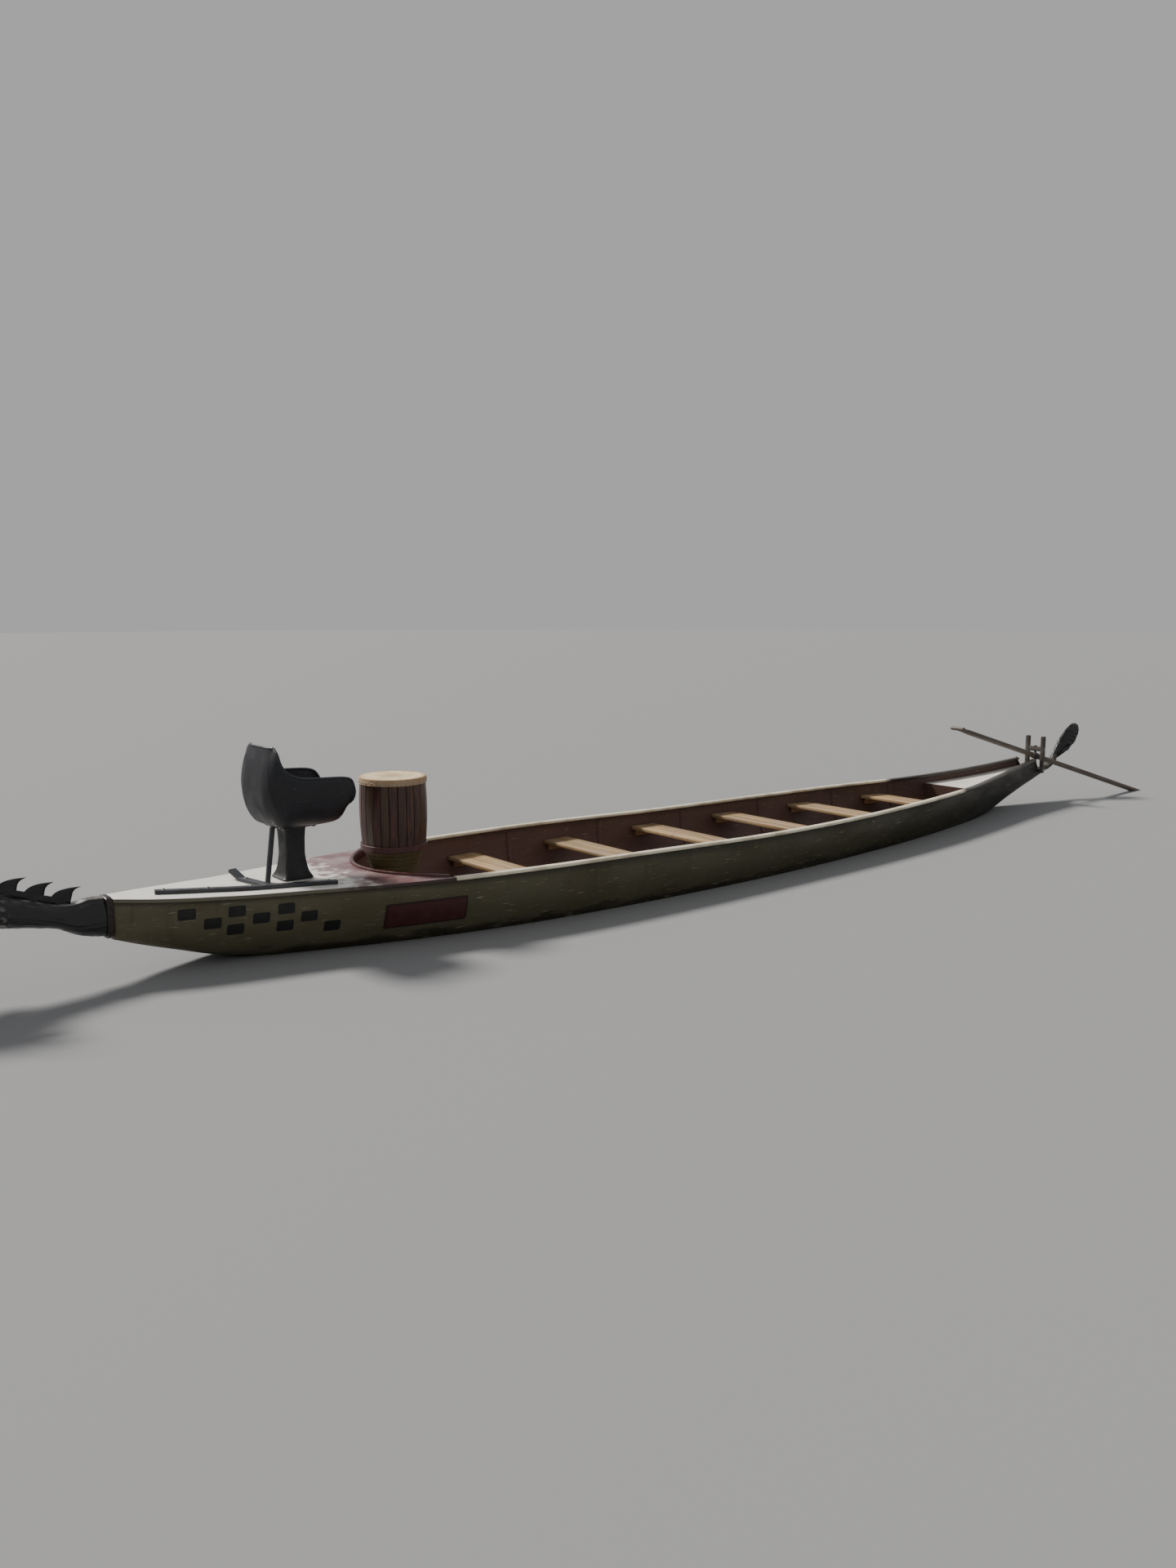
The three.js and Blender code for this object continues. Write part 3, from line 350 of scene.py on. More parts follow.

# %% [markdown]
# ### Hull paint
# The hull is glass fibre, brushed and rolled with marine enamel, so the brush marks run along it.
# The enamel has chalked and yellowed unevenly, which also takes some of its shine. Rain has run
# down from the gunwale and dried, and a band above the waterline is darker. A dark band just under
# the cap is a painted shadow. The colour darkens from greige near the bow to olive along the middle
# and nearly black at the stern. All of it is darker than the paint itself, as painted shade of the
# near side, and the darkening aft is painted shade and dark reflection.

# %% Marine enamel
def marine_enamel(name, fore, aft, stern, silt_and_shade_tone, low_band_top=0.07, strength=1.0):
    material, tree, shader = finish(name, roughness=0.42, ior=1.5)
    shader.inputs["Specular IOR Level"].default_value = 0.3
    where = node(tree, "ShaderNodeTexCoord", out="Object")
    axes = node(tree, "ShaderNodeSeparateXYZ", {0: where})
    along = node(tree, "ShaderNodeMapRange",
                 {"Value": axes.outputs["X"], "From Min": -1.5, "From Max": 3.2}, out=0)
    # Fore and aft colours are darker than the paint itself: painted shade of the near side.
    base = node(tree, "ShaderNodeMix", {0: along, 6: linear(aft), 7: linear(fore)}, out=2, data_type="RGBA")
    # The near-black stern colour is painted shade and dark reflection.
    behind = node(tree, "ShaderNodeMapRange",
                  {"Value": axes.outputs["X"], "From Min": -1.1, "From Max": -2.8}, out=0)
    base = node(tree, "ShaderNodeMix", {0: behind, 6: base, 7: linear(stern)}, out=2, data_type="RGBA")
    chalk = patches(tree, where, (0.45, 0.3, 0.11), 0.35, 0.68)
    chalked = node(tree, "ShaderNodeMix", {0: chalk, 6: linear("#ffffff"), 7: linear("#dcd6c4")},
                   out=2, data_type="RGBA")
    base = node(tree, "ShaderNodeMix", {0: 0.6 * strength, 6: base, 7: chalked},
                out=2, data_type="RGBA", blend_type="MULTIPLY")
    runs = patches(tree, where, (0.05, 0.4, 0.35), 0.54, 0.72, detail=3)
    below_rail = node(tree, "ShaderNodeMapRange",
                      {"Value": axes.outputs["Z"], "From Min": 0.02, "From Max": 0.32}, out=0)
    runs = node(tree, "ShaderNodeMath", {0: runs, 1: below_rail}, out=0, operation="MULTIPLY")
    runs = node(tree, "ShaderNodeMath", {0: runs, 1: 0.22 * strength}, out=0, operation="MULTIPLY")
    base = node(tree, "ShaderNodeMix", {0: runs, 6: base, 7: linear(silt_and_shade_tone)}, out=2, data_type="RGBA")
    # A wavy band above the waterline is darker.
    ripple = patches(tree, where, (0.16, 0.16, 0.05), 0.3, 0.7)
    level = node(tree, "ShaderNodeMath", {0: ripple, 1: 0.045, 2: -0.022}, out=0, operation="MULTIPLY_ADD")
    level = node(tree, "ShaderNodeMath", {0: axes.outputs["Z"], 1: level}, out=0, operation="ADD")
    low_band = node(tree, "ShaderNodeMapRange",
               {"Value": level, "From Min": low_band_top, "From Max": low_band_top - 0.055,
                "To Max": 0.75 * strength},
               out=0, interpolation_type="SMOOTHSTEP")
    base = node(tree, "ShaderNodeMix", {0: low_band, 6: base, 7: linear(silt_and_shade_tone)}, out=2, data_type="RGBA")
    scuffs = patches(tree, where, (0.09, 0.05, 0.006), 0.66, 0.72, detail=2, offset=3.1)
    scuffs = node(tree, "ShaderNodeMath", {0: scuffs, 1: 0.5 * strength}, out=0, operation="MULTIPLY")
    base = node(tree, "ShaderNodeMix", {0: scuffs, 6: base, 7: linear("#a8a28c")}, out=2, data_type="RGBA")
    # The band just under the gunwale cap is darkened as a painted shadow of the cap's overhang.
    shade_under_cap = node(tree, "ShaderNodeAttribute", out="Fac", attribute_name="relief")
    grime = node(tree, "ShaderNodeMath", {0: shade_under_cap, 1: 0.8 * strength}, out=0, operation="MULTIPLY")
    base = node(tree, "ShaderNodeMix", {0: grime, 6: base, 7: linear(silt_and_shade_tone)}, out=2, data_type="RGBA")
    brush = patches(tree, where, (0.22, 0.012, 0.006), 0.3, 0.7, detail=3)
    rough = node(tree, "ShaderNodeMapRange", {"Value": chalk, "To Min": 0.32, "To Max": 0.55}, out=0)
    finished(tree, shader, base, rough, brush, 0.00035)
    return material


# Each of these colours is darkened as painted shade, the stern's most of all.
hull_paint = marine_enamel("brushed_marine_enamel", "#605c49", "#3b3925", "#1b1a0e", "#1e1c10")
# The lining darkens aft as painted shade.
lining_paint = marine_enamel("lining_enamel", "#735650", "#604a44", "#5a453f", "#43362f", low_band_top=-0.05,
                             strength=0.8)

# %% [markdown]
# ### Deck gelcoat
# The foredeck was moulded in white gelcoat and polished. It has gone slightly chalky, and a footing
# of oxblood deck paint at its aft end, where it gets the most wear, has worn to a pink wash. The wash
# is coloured darker than that worn paint, as a painted shadow, and the deck's sides take the hull's
# colour with its painted shade.

# %% Gelcoats
def gelcoat(name, clean, grime, dirt=0.35, roughness=0.3):
    material, tree, shader = finish(name, roughness=roughness, ior=1.5, coat=0.15)
    where = node(tree, "ShaderNodeTexCoord", out="Object")
    dull = patches(tree, where, 0.18, 0.42, 0.72)
    dull = node(tree, "ShaderNodeMath", {0: dull, 1: dirt}, out=0, operation="MULTIPLY")
    base = node(tree, "ShaderNodeMix", {0: dull, 6: linear(clean), 7: linear(grime)},
                out=2, data_type="RGBA")
    specks = patches(tree, where, 0.011, 0.68, 0.74, detail=2, offset=5.3)
    specks = node(tree, "ShaderNodeMath", {0: specks, 1: dirt}, out=0, operation="MULTIPLY")
    base = node(tree, "ShaderNodeMix", {0: specks, 6: base, 7: linear(grime)}, out=2, data_type="RGBA")
    ripples = patches(tree, where, 0.06, 0.3, 0.7, detail=1)
    rough = node(tree, "ShaderNodeMapRange",
                 {"Value": dull, "To Min": roughness, "To Max": roughness + 0.35}, out=0)
    return material, tree, shader, where, base, rough, ripples


def deck_gelcoat():
    material, tree, shader, where, base, rough, ripples = gelcoat("white_deck_gelcoat", "#f1efe9", "#b9b3a4")
    axes = node(tree, "ShaderNodeSeparateXYZ", {0: where})
    ragged = patches(tree, where, 0.07, 0.3, 0.7, detail=8)
    edge = node(tree, "ShaderNodeMath", {0: ragged, 1: 0.22, 2: -0.11}, out=0, operation="MULTIPLY_ADD")
    edge = node(tree, "ShaderNodeMath", {0: axes.outputs["X"], 1: edge}, out=0, operation="ADD")
    painted = node(tree, "ShaderNodeMapRange", {"Value": edge, "From Min": 2.98, "From Max": 2.84}, out=0)
    ahead = node(tree, "ShaderNodeMath", {0: axes.outputs["X"], 1: 0.0}, out=0, operation="GREATER_THAN")
    footing = node(tree, "ShaderNodeMath", {0: painted, 1: ahead}, out=0, operation="MULTIPLY")
    worn = patches(tree, where, (0.16, 0.13, 0.16), 0.36, 0.64, detail=9, offset=2.2)
    wash = node(tree, "ShaderNodeMapRange", {"Value": worn, "To Min": 0.80, "To Max": 0.98}, out=0)
    painted = node(tree, "ShaderNodeMath", {0: footing, 1: wash}, out=0, operation="MULTIPLY")
    # The footing colour is darker than the worn pink paint: it also carries a painted shadow.
    base = node(tree, "ShaderNodeMix", {0: painted, 6: base, 7: linear("#6f484d")}, out=2, data_type="RGBA")
    facing = node(tree, "ShaderNodeNewGeometry", out="Normal")
    facing = node(tree, "ShaderNodeSeparateXYZ", {0: facing}, out="Z")
    side = node(tree, "ShaderNodeMapRange", {"Value": facing, "From Min": 0.75, "From Max": 0.5}, out=0)
    # The sides take the hull's colour, darkened like it as painted shade; near the footing they turn dark
    # maroon.
    rim = node(tree, "ShaderNodeMix", {0: footing, 6: linear("#625e4c"), 7: linear("#38201f")},
               out=2, data_type="RGBA")
    base = node(tree, "ShaderNodeMix", {0: side, 6: base, 7: rim}, out=2, data_type="RGBA")
    finished(tree, shader, base, rough, ripples, 0.0006)
    return material


white_deck = deck_gelcoat()
cream, tree, shader, where, base, rough, ripples = gelcoat("cream_rail_gelcoat", "#e9e1c9", "#8d7f63",
                                                           dirt=0.55)
axes = node(tree, "ShaderNodeSeparateXYZ", {0: where})
# Aft of x = -2.4 the cap turns dark: partly dark paint, partly a painted shadow across the rail.
aft_end = node(tree, "ShaderNodeMapRange",
               {"Value": axes.outputs["X"], "From Min": -2.34, "From Max": -2.42}, out=0)
base = node(tree, "ShaderNodeMix", {0: aft_end, 6: base, 7: linear("#3d3832")}, out=2, data_type="RGBA")
finished(tree, shader, base, rough, ripples, 0.0006)

# %% [markdown]
# ### Oxblood, black and ivory enamel
# The carved and painted parts are wood under gloss enamel from a tin. The paint thins on the ridges
# that get rubbed, and dust lies in the grooves, so the relief that comes with each carved
# surface tells the finish where to lighten. On the smooth band along the neck's back that
# lightening is a painted highlight. Gloss enamel has an IOR near 1.5.

# %% Enamel on carving
def carved_enamel(name, paint, worn, dust, roughness=0.36, wear=0.5, coat=0.2, cloud=0.12):
    material, tree, shader = finish(name, roughness=roughness, ior=1.5, coat=coat)
    where = node(tree, "ShaderNodeTexCoord", out="Object")
    relief = node(tree, "ShaderNodeAttribute", out="Fac", attribute_name="relief")
    blotch = patches(tree, where, 0.05, 0.35, 0.7, detail=8)
    ridge = node(tree, "ShaderNodeMapRange",
                 {"Value": relief, "From Min": 0.55, "From Max": 1.0, "To Max": wear}, out=0)
    ridge = node(tree, "ShaderNodeMath", {0: ridge, 1: blotch}, out=0, operation="MULTIPLY")
    groove = node(tree, "ShaderNodeMapRange",
                  {"Value": relief, "From Min": -0.15, "From Max": -0.8, "To Max": 0.7}, out=0)
    patchy = node(tree, "ShaderNodeMapRange", {"Value": blotch, "To Max": cloud}, out=0)
    base = node(tree, "ShaderNodeMix", {0: patchy, 6: linear(paint), 7: linear(worn)},
                out=2, data_type="RGBA")
    base = node(tree, "ShaderNodeMix", {0: ridge, 6: base, 7: linear(worn)}, out=2, data_type="RGBA")
    base = node(tree, "ShaderNodeMix", {0: groove, 6: base, 7: linear(dust)}, out=2, data_type="RGBA")
    strokes = patches(tree, where, (0.05, 0.008, 0.008), 0.3, 0.7, detail=3)
    rough = node(tree, "ShaderNodeMapRange",
                 {"Value": blotch, "To Min": roughness - 0.08, "To Max": roughness + 0.2}, out=0)
    finished(tree, shader, base, rough, strokes, 0.0003)
    return material


black_enamel = carved_enamel("black_gloss_enamel", "#0c0b10", "#2b292f", "#151416", wear=0.35, coat=0.1)
# The neck's enamel: its pale colour lightens the scale ridges as wear and the back band as a painted
# highlight.
black_enamel_with_painted_highlight = carved_enamel("black_enamel_worn_and_highlit", "#0c0b10", "#8a8683", "#151416", wear=1.0, coat=0.25,
                              cloud=0.01)
oxblood_enamel = carved_enamel("oxblood_gloss_enamel", "#43171a", "#6f3d38", "#241012")
dark_oxblood = carved_enamel("dark_oxblood_enamel", "#1d0b0c", "#44231f", "#120707", coat=0.1)
mouth_enamel = carved_enamel("red_mouth_enamel", "#8d1f20", "#b4564a", "#4c1112")
ivory_enamel = carved_enamel("ivory_enamel", "#dbd0b0", "#efe8d2", "#8d7b56")
scale_enamel = carved_enamel("black_scale_enamel", "#0f0e0c", "#22201c", "#0f0e0c", roughness=0.5, coat=0)
plate_red = carved_enamel("red_plate_enamel", "#431c1b", "#5a2f29", "#2f1413", roughness=0.45, coat=0)
plate_edge = carved_enamel("dark_plate_edge", "#2c1212", "#4c2624", "#1b0c0c", roughness=0.5, coat=0)

# %% [markdown]
# ## The hull's lines
# Each row below is one frame of the hull: where it stands, half its beam at the sheer, the heights of
# the sheer and the keel, and how full the section is. A section is a superellipse quarter on each
# side of a flat keel strip: 2 would be an ellipse, and 3 is a fuller bilge.

# %% Lines
LINES = np.array([
    (4.050, 0.060, 0.395, 0.190, 3.2),
    (3.900, 0.123, 0.383, 0.137, 2.6),
    (3.750, 0.171, 0.373, 0.088, 2.3),
    (3.600, 0.211, 0.365, 0.040, 2.2),
    (3.450, 0.247, 0.357, 0.000, 2.1),
    (3.150, 0.325, 0.350, -0.060, 2.1),
    (2.650, 0.450, 0.338, -0.120, 2.3),
    (1.950, 0.556, 0.331, -0.170, 2.6),
    (1.050, 0.597, 0.318, -0.198, 2.9),
    (0.100, 0.598, 0.294, -0.200, 3.0),
    (-0.850, 0.562, 0.289, -0.198, 2.6),
    (-1.750, 0.478, 0.296, -0.185, 2.3),
    (-2.550, 0.350, 0.304, -0.137, 2.1),
    (-3.050, 0.245, 0.325, -0.050, 2.1),
    (-3.450, 0.166, 0.352, 0.070, 2.2),
    (-3.750, 0.117, 0.378, 0.155, 2.4),
    (-3.960, 0.086, 0.395, 0.207, 2.6),
    (-4.200, 0.044, 0.405, 0.262, 2.8),
])
BOW, STERN = 4.05, -4.2
WALL = 0.012
KEEL_FLAT = 0.03
CAP = 0.020                     # thickness of foredeck and gunwale
BULWARK_END = -3.88
STERN_RECESS = 0.075
SEAT_UNDER_CAP = 0.0014


def lines_at(x):
    """Half beam, sheer, keel and fullness at x, each as an array like x."""
    return np.moveaxis(faired(LINES[:, 0], LINES[:, 1:], x), -1, 0)


def side_at(x, z, inset=0.0):
    """Half breadth at a height: with q the depth below the sheer as a share of the whole, the side
    stands at flat + (beam - flat) (1 - q^n)^(1/n)."""
    beam, sheer, keel, n = lines_at(x)
    flat = np.minimum(KEEL_FLAT, beam * 0.3)
    q = np.clip((sheer - z) / (sheer - keel - inset), 0, 1)
    return flat + (beam - inset - flat) * (1 - q**n) ** (1 / n)


def section(x, top, count, inset=0.0):
    """Points from a height on the port side down to the keel: the angle goes evenly from the one
    where the section has come down to that height to a right angle at the keel."""
    x = np.asarray(x, float)
    beam, sheer, keel, n = (v[..., None] for v in lines_at(x))
    top = np.broadcast_to(top, x.shape)[..., None]
    start = np.arcsin(np.clip((sheer - top) / (sheer - keel), 0, 1) ** (n / 2))
    angle = start + (np.pi / 2 - start) * np.linspace(0, 1, count)
    flat = np.minimum(KEEL_FLAT, beam * 0.3)
    y = flat + (beam - inset - flat) * np.clip(np.cos(angle), 0, 1) ** (2 / n)
    z = sheer - (sheer - keel - inset) * np.sin(angle) ** (2 / n)
    return np.stack([np.broadcast_to(x[..., None], y.shape), y, z], -1)


def stern_top(x):
    """The recessed deck lies a fixed depth under the sheer, then falls by 0.08 aft of the bulwark."""
    sheer = lines_at(np.maximum(x, BULWARK_END))[1]
    return sheer - STERN_RECESS - np.maximum(0, BULWARK_END - x) * 0.08


def rail_top(x):
    """Top edge of the planking: under the caps as far as the bulwark's end, then the low stern."""
    high = lines_at(x)[1] - CAP - SEAT_UNDER_CAP
    low = stern_top(x) - 0.0183
    return np.where(x > BULWARK_END - 0.0005, high, low)

# %% [markdown]
# ## Hull
# The real hull is one moulding, so it is one closed surface here: each ring goes down the outside
# from the port rail, round the keel and up to starboard, and comes back on the inside of the wall.
# The inside takes a second finish, since it is painted another colour.

# %% Hull shell
stations = np.concatenate([
    np.linspace(BOW, BULWARK_END, 190), [BULWARK_END - 0.004], np.linspace(BULWARK_END - 0.02, STERN, 14),
])
HALF = 34


def there_and_back(x, top, inset):
    port = section(x, top, HALF, inset)
    return np.concatenate([port, (port * [1, -1, 1])[:, ::-1]], axis=1)


outside = there_and_back(stations, rail_top(stations), 0.0)
inside = there_and_back(stations, rail_top(stations), WALL)
rings = np.concatenate([outside, inside[:, ::-1]], axis=1)
# relief marks the top 22 mm of the wall under the cap, where the paint puts a painted shadow.
below_cap = rings[:, :1, 2] - rings[..., 2]
shell = loft(rings, relief=np.clip(1 - below_cap / 0.022, 0, 1))
ring_faces = (len(stations) - 1) * rings.shape[1]
column = np.arange(ring_faces) % rings.shape[1]
shell["look"] = np.zeros(len(shell["quads"]), int)
shell["look"][:ring_faces] = column >= 2 * HALF - 1
PLANKS = [f"hull_{part}_{length}_{side}" for part in ("side", "bottom")
          for length in ("forward", "middle", "aft")
          for side in ("port", "starboard")]
piece("hull_shell", shell, [hull_paint, lining_paint], crisp=50,
      stands_for=PLANKS + ["hull_bow", "hull_stern", "bulwark_port", "bulwark_starboard"])

# %% [markdown]
# The two bulkheads that close the cockpit are flat plates cut to the section. A section already
# runs from the rail to the keel, so a plate is two copies of it, one plate's thickness apart.

# %% Bulkheads
def bulkhead(x, top, thickness=0.014):
    at = np.array([x, x + thickness])
    return loft(there_and_back(at, np.minimum(top, lines_at(at)[1] - 0.022), WALL + 0.0006))


COCKPIT_FORE, COCKPIT_AFT = 2.73, -2.80
aft_top = float(stern_top(COCKPIT_AFT)) - 0.0005
plates = [bulkhead(COCKPIT_FORE + 0.0007, 0.3), bulkhead(COCKPIT_AFT + 0.0003, aft_top)]
piece("bulkhead_plates", together(plates), lining_paint)

# %% [markdown]
# ## Foredeck
# A flat white deck covers the bow, hollowed at its aft edge for leg room between seat and drum. Its
# rim is rounded over. The grid runs from the bow to that edge along rows that follow the hull's plan.

# %% Foredeck
DECK_EDGE, DECK_HOLLOW = 2.72, 1.25
ROUND_OVER = 0.007


def deck_edge(share):
    """Where the hollow crosses a share of the beam: x = edge - hollow y^2 with y = share times the
    beam there, found by putting each answer back in."""
    x = np.full(np.shape(share), DECK_EDGE)
    for _ in range(20):
        x = DECK_EDGE - DECK_HOLLOW * (share * lines_at(x)[0]) ** 2
    return x


rim = 1 - np.array([0.0, 0.002, 0.006, 0.012, 0.02, 0.04])
across = np.concatenate([-rim, np.linspace(-0.92, 0.92, 41), rim[::-1]])
along_deck = np.linspace(0, 1, 70)[:, None]
deck_x = BOW + (deck_edge(across) - BOW) * along_deck
beam, sheer = lines_at(deck_x)[:2]
from_rim = beam * (1 - np.abs(across))
drop = ROUND_OVER - np.sqrt(np.clip(ROUND_OVER**2 - np.clip(ROUND_OVER - from_rim, 0, None) ** 2, 0, None))
deck_top = np.stack([deck_x, across * beam, sheer - drop], -1)
deck_under = np.stack([deck_x, across * beam, sheer - CAP], -1)
piece("foredeck_moulding", slab(deck_top, deck_under), white_deck, stands_for=("foredeck",))

# %% [markdown]
# The coaming along that edge is a plank on edge, painted oxblood, with a rounded top.

# %% Coaming
COAMING_WIDTH, COAMING_HEIGHT, RUBBED_ABOVE = 0.022, 0.059, 0.345
edge_share = np.linspace(-0.95, 0.95, 61)
edge_x = deck_edge(edge_share)
edge_beam, edge_sheer = lines_at(edge_x)[:2]
coaming_path = np.stack([edge_x - 0.0113, edge_share * edge_beam, edge_sheer - 0.0155], -1)
coaming = swept(coaming_path, rounded(COAMING_WIDTH, COAMING_HEIGHT, 0.008))
coaming["relief"] = np.where(coaming["points"][:, 2] > RUBBED_ABOVE, 0.8, 0.0)
piece("coaming_plank", coaming, oxblood_enamel, stands_for=("foredeck_coaming",))

# %% [markdown]
# ## Gunwales
# Each gunwale is a cream cap, 45 mm wide, carried along the sheer from the deck's corner to the end
# of the bulwark. Its edges are rounded, because it gets rubbed and knocked all day. Aft of x = -2.4
# it is dark: partly dark paint and partly a painted shadow across the rail.

# %% Gunwales
GUNWALE_WIDTH, OVERHANG = 0.045, 0.006
rail_x = np.linspace(float(deck_edge(np.array(1.0))) - 0.004, BULWARK_END, 150)
rail_beam, rail_sheer = lines_at(rail_x)[:2]
rail = np.stack([rail_x, rail_beam + OVERHANG - GUNWALE_WIDTH / 2, rail_sheer - CAP / 2], -1)
gunwale = swept(rail, rounded(GUNWALE_WIDTH, CAP, 0.008, per_corner=5))
piece("gunwale_caps", both_sides(gunwale), cream, stands_for=("gunwale_port", "gunwale_starboard"))

# %% [markdown]
# ## Stern deck
# Between the bulwarks the stern deck lies in a recess, white like the foredeck. Aft of them the
# hull's end is closed by a plain lid that falls away under the steering oar.

# %% Stern deck and lid
def plate_between(x, top, thickness, inset, slack):
    """A level plate as wide as the hull at its own height."""
    half = side_at(x, top - thickness / 2, inset) - slack
    share = np.linspace(-1, 1, 15)
    y = half[:, None] * share
    grid = np.stack([np.broadcast_to(x[:, None], y.shape), y, np.broadcast_to(top[:, None], y.shape)], -1)
    return slab(grid, grid - [0, 0, thickness])


recess_x = np.linspace(COCKPIT_AFT, BULWARK_END, 30)
piece("stern_deck_moulding", plate_between(recess_x, stern_top(recess_x), 0.010, WALL, 0.0006), white_deck,
      stands_for=("stern_deck",))
lid_x = np.linspace(BULWARK_END - 0.0005, STERN, 12)
piece("stern_lid", plate_between(lid_x, stern_top(lid_x) - 0.0103, 0.0078, 0.0, 0.0), hull_paint)

# %% [markdown]
# A knee on each side brings the end of the bulwark down to the lid in a hollow curve.

# %% Stern knees
KNEE_END, KNEE_WALL, KNEE_SUNK, GLUE_LINE = -3.9485, 0.012, 0.006, 0.0008
knee_x = np.linspace(BULWARK_END + 0.0005, KNEE_END, 14)
down = np.linspace(0, 1, len(knee_x))
knee_low = stern_top(knee_x) - KNEE_SUNK
bulwark_top = float(lines_at(np.array(BULWARK_END))[1])
knee_high = knee_low + 0.010 + (bulwark_top - 0.004 - knee_low[0]) * (1 - down) ** 1.7
corners = []
for height, inboard in ((knee_low, 0), (knee_high, 0), (knee_high, KNEE_WALL), (knee_low, KNEE_WALL)):
    corners.append(np.stack([knee_x, side_at(knee_x, height) - GLUE_LINE - inboard, height], -1))
piece("stern_knees", both_sides(loft(np.stack(corners, axis=1))), hull_paint, crisp=25)

# %% [markdown]
# ## Scale marks and plate
# Nine black rectangles in three slanting rows stand for the dragon's scales on each side of the bow,
# brushed on through a cut-out, so their corners are soft. Aft of them a blank red plate with
# a dark edge is screwed on. Each is a thin sheet that takes the hull's own curve, a paint film or a
# plate's thickness proud of it.

# %% Marks and plates
MARK_WIDTH, MARK_HEIGHT = 0.080, 0.056
MARK_ROWS = [
    [(3.744, 0.289), (3.516, 0.280), (3.284, 0.268)],
    [(3.627, 0.230), (3.401, 0.231), (3.173, 0.215)],
    [(3.520, 0.186), (3.286, 0.176), (3.056, 0.148)],
]


def on_side(centre, width, height, proud, squareness=9.0, columns=25, rows=9):
    """A sheet on the port side: across it runs s from -1 to 1, and at each s it reaches up and down
    by half its height times (1 - |s|^k)^(1/k), which is a rectangle with soft corners."""
    s = np.sin(np.linspace(-1, 1, columns) * np.pi / 2 * 0.985)
    t = np.linspace(-1, 1, rows)
    reach = height / 2 * (1 - np.abs(s) ** squareness) ** (1 / squareness)
    x = np.broadcast_to((centre[0] + s * width / 2)[:, None], (columns, rows))
    z = centre[1] + reach[:, None] * t
    y = side_at(x, z)
    top = np.stack([x, y + proud, z], -1)
    return slab(top, top - [0, proud + 0.002, 0])


marks = [on_side(centre, MARK_WIDTH, MARK_HEIGHT, 0.0008) for row in MARK_ROWS for centre in row]
piece("scale_marks", both_sides(together(marks)), scale_enamel)

PLATE_CENTRE, PLATE_SIZE, PLATE_EDGE = (2.572, 0.162), np.array([0.446, 0.136]), 0.011
backing = on_side(PLATE_CENTRE, *PLATE_SIZE, 0.003, squareness=30, columns=61)
face = on_side(PLATE_CENTRE, *(PLATE_SIZE - 2 * PLATE_EDGE), 0.0042, squareness=30, columns=61)
for part, look in ((backing, 0), (face, 1)):
    part["look"] = np.full(len(part["quads"]), look)
piece("side_plates", both_sides(together([backing, face])), [plate_edge, plate_red])

# %% [markdown]
# ## Ribs
# Glass-fibre boats of this kind are stiffened by ribs laid over foam formers, which show as half
# round bands inside. Each follows the inner skin from one rail to the other.

# %% Ribs
RIB_WIDTH, RIB_DEPTH = 0.045, 0.014


def rib(x):
    """Around the section runs the inner skin; across it, a low arch lifts the band inwards."""
    across_rib = np.linspace(-1, 1, 7)
    arch = np.sqrt(1 - across_rib**2 * 0.98) * RIB_DEPTH
    at = x + across_rib * RIB_WIDTH / 2
    top = lines_at(at)[1] - 0.045
    inner = np.stack([there_and_back(at[k:k + 1], top[k:k + 1], WALL + arch[k])[0] for k in range(7)], 1)
    outer = there_and_back(at, top, WALL - 0.003).transpose(1, 0, 2)
    return slab(inner, outer)


BENCHES, BENCH_FIRST, BENCH_PITCH = 6, 1.7, 0.78
rib_places = [BENCH_FIRST - (i - 0.5) * BENCH_PITCH for i in range(BENCHES)] + [-2.42]
piece("hull_ribs", together([rib(x) for x in rib_places]), lining_paint)

# %% [markdown]
# ### Timber
# The thwarts and floor are softwood, the oar's frame is oak and the oar is ash. What the eye reads
# as wood is the grain: year rings cut lengthways, a few millimetres apart, wavy over half a metre,
# with fine dark pores along them. The texture coordinates run along each plank, and its tone
# shifts both the place in the pattern and the brightness, so that no two planks match.

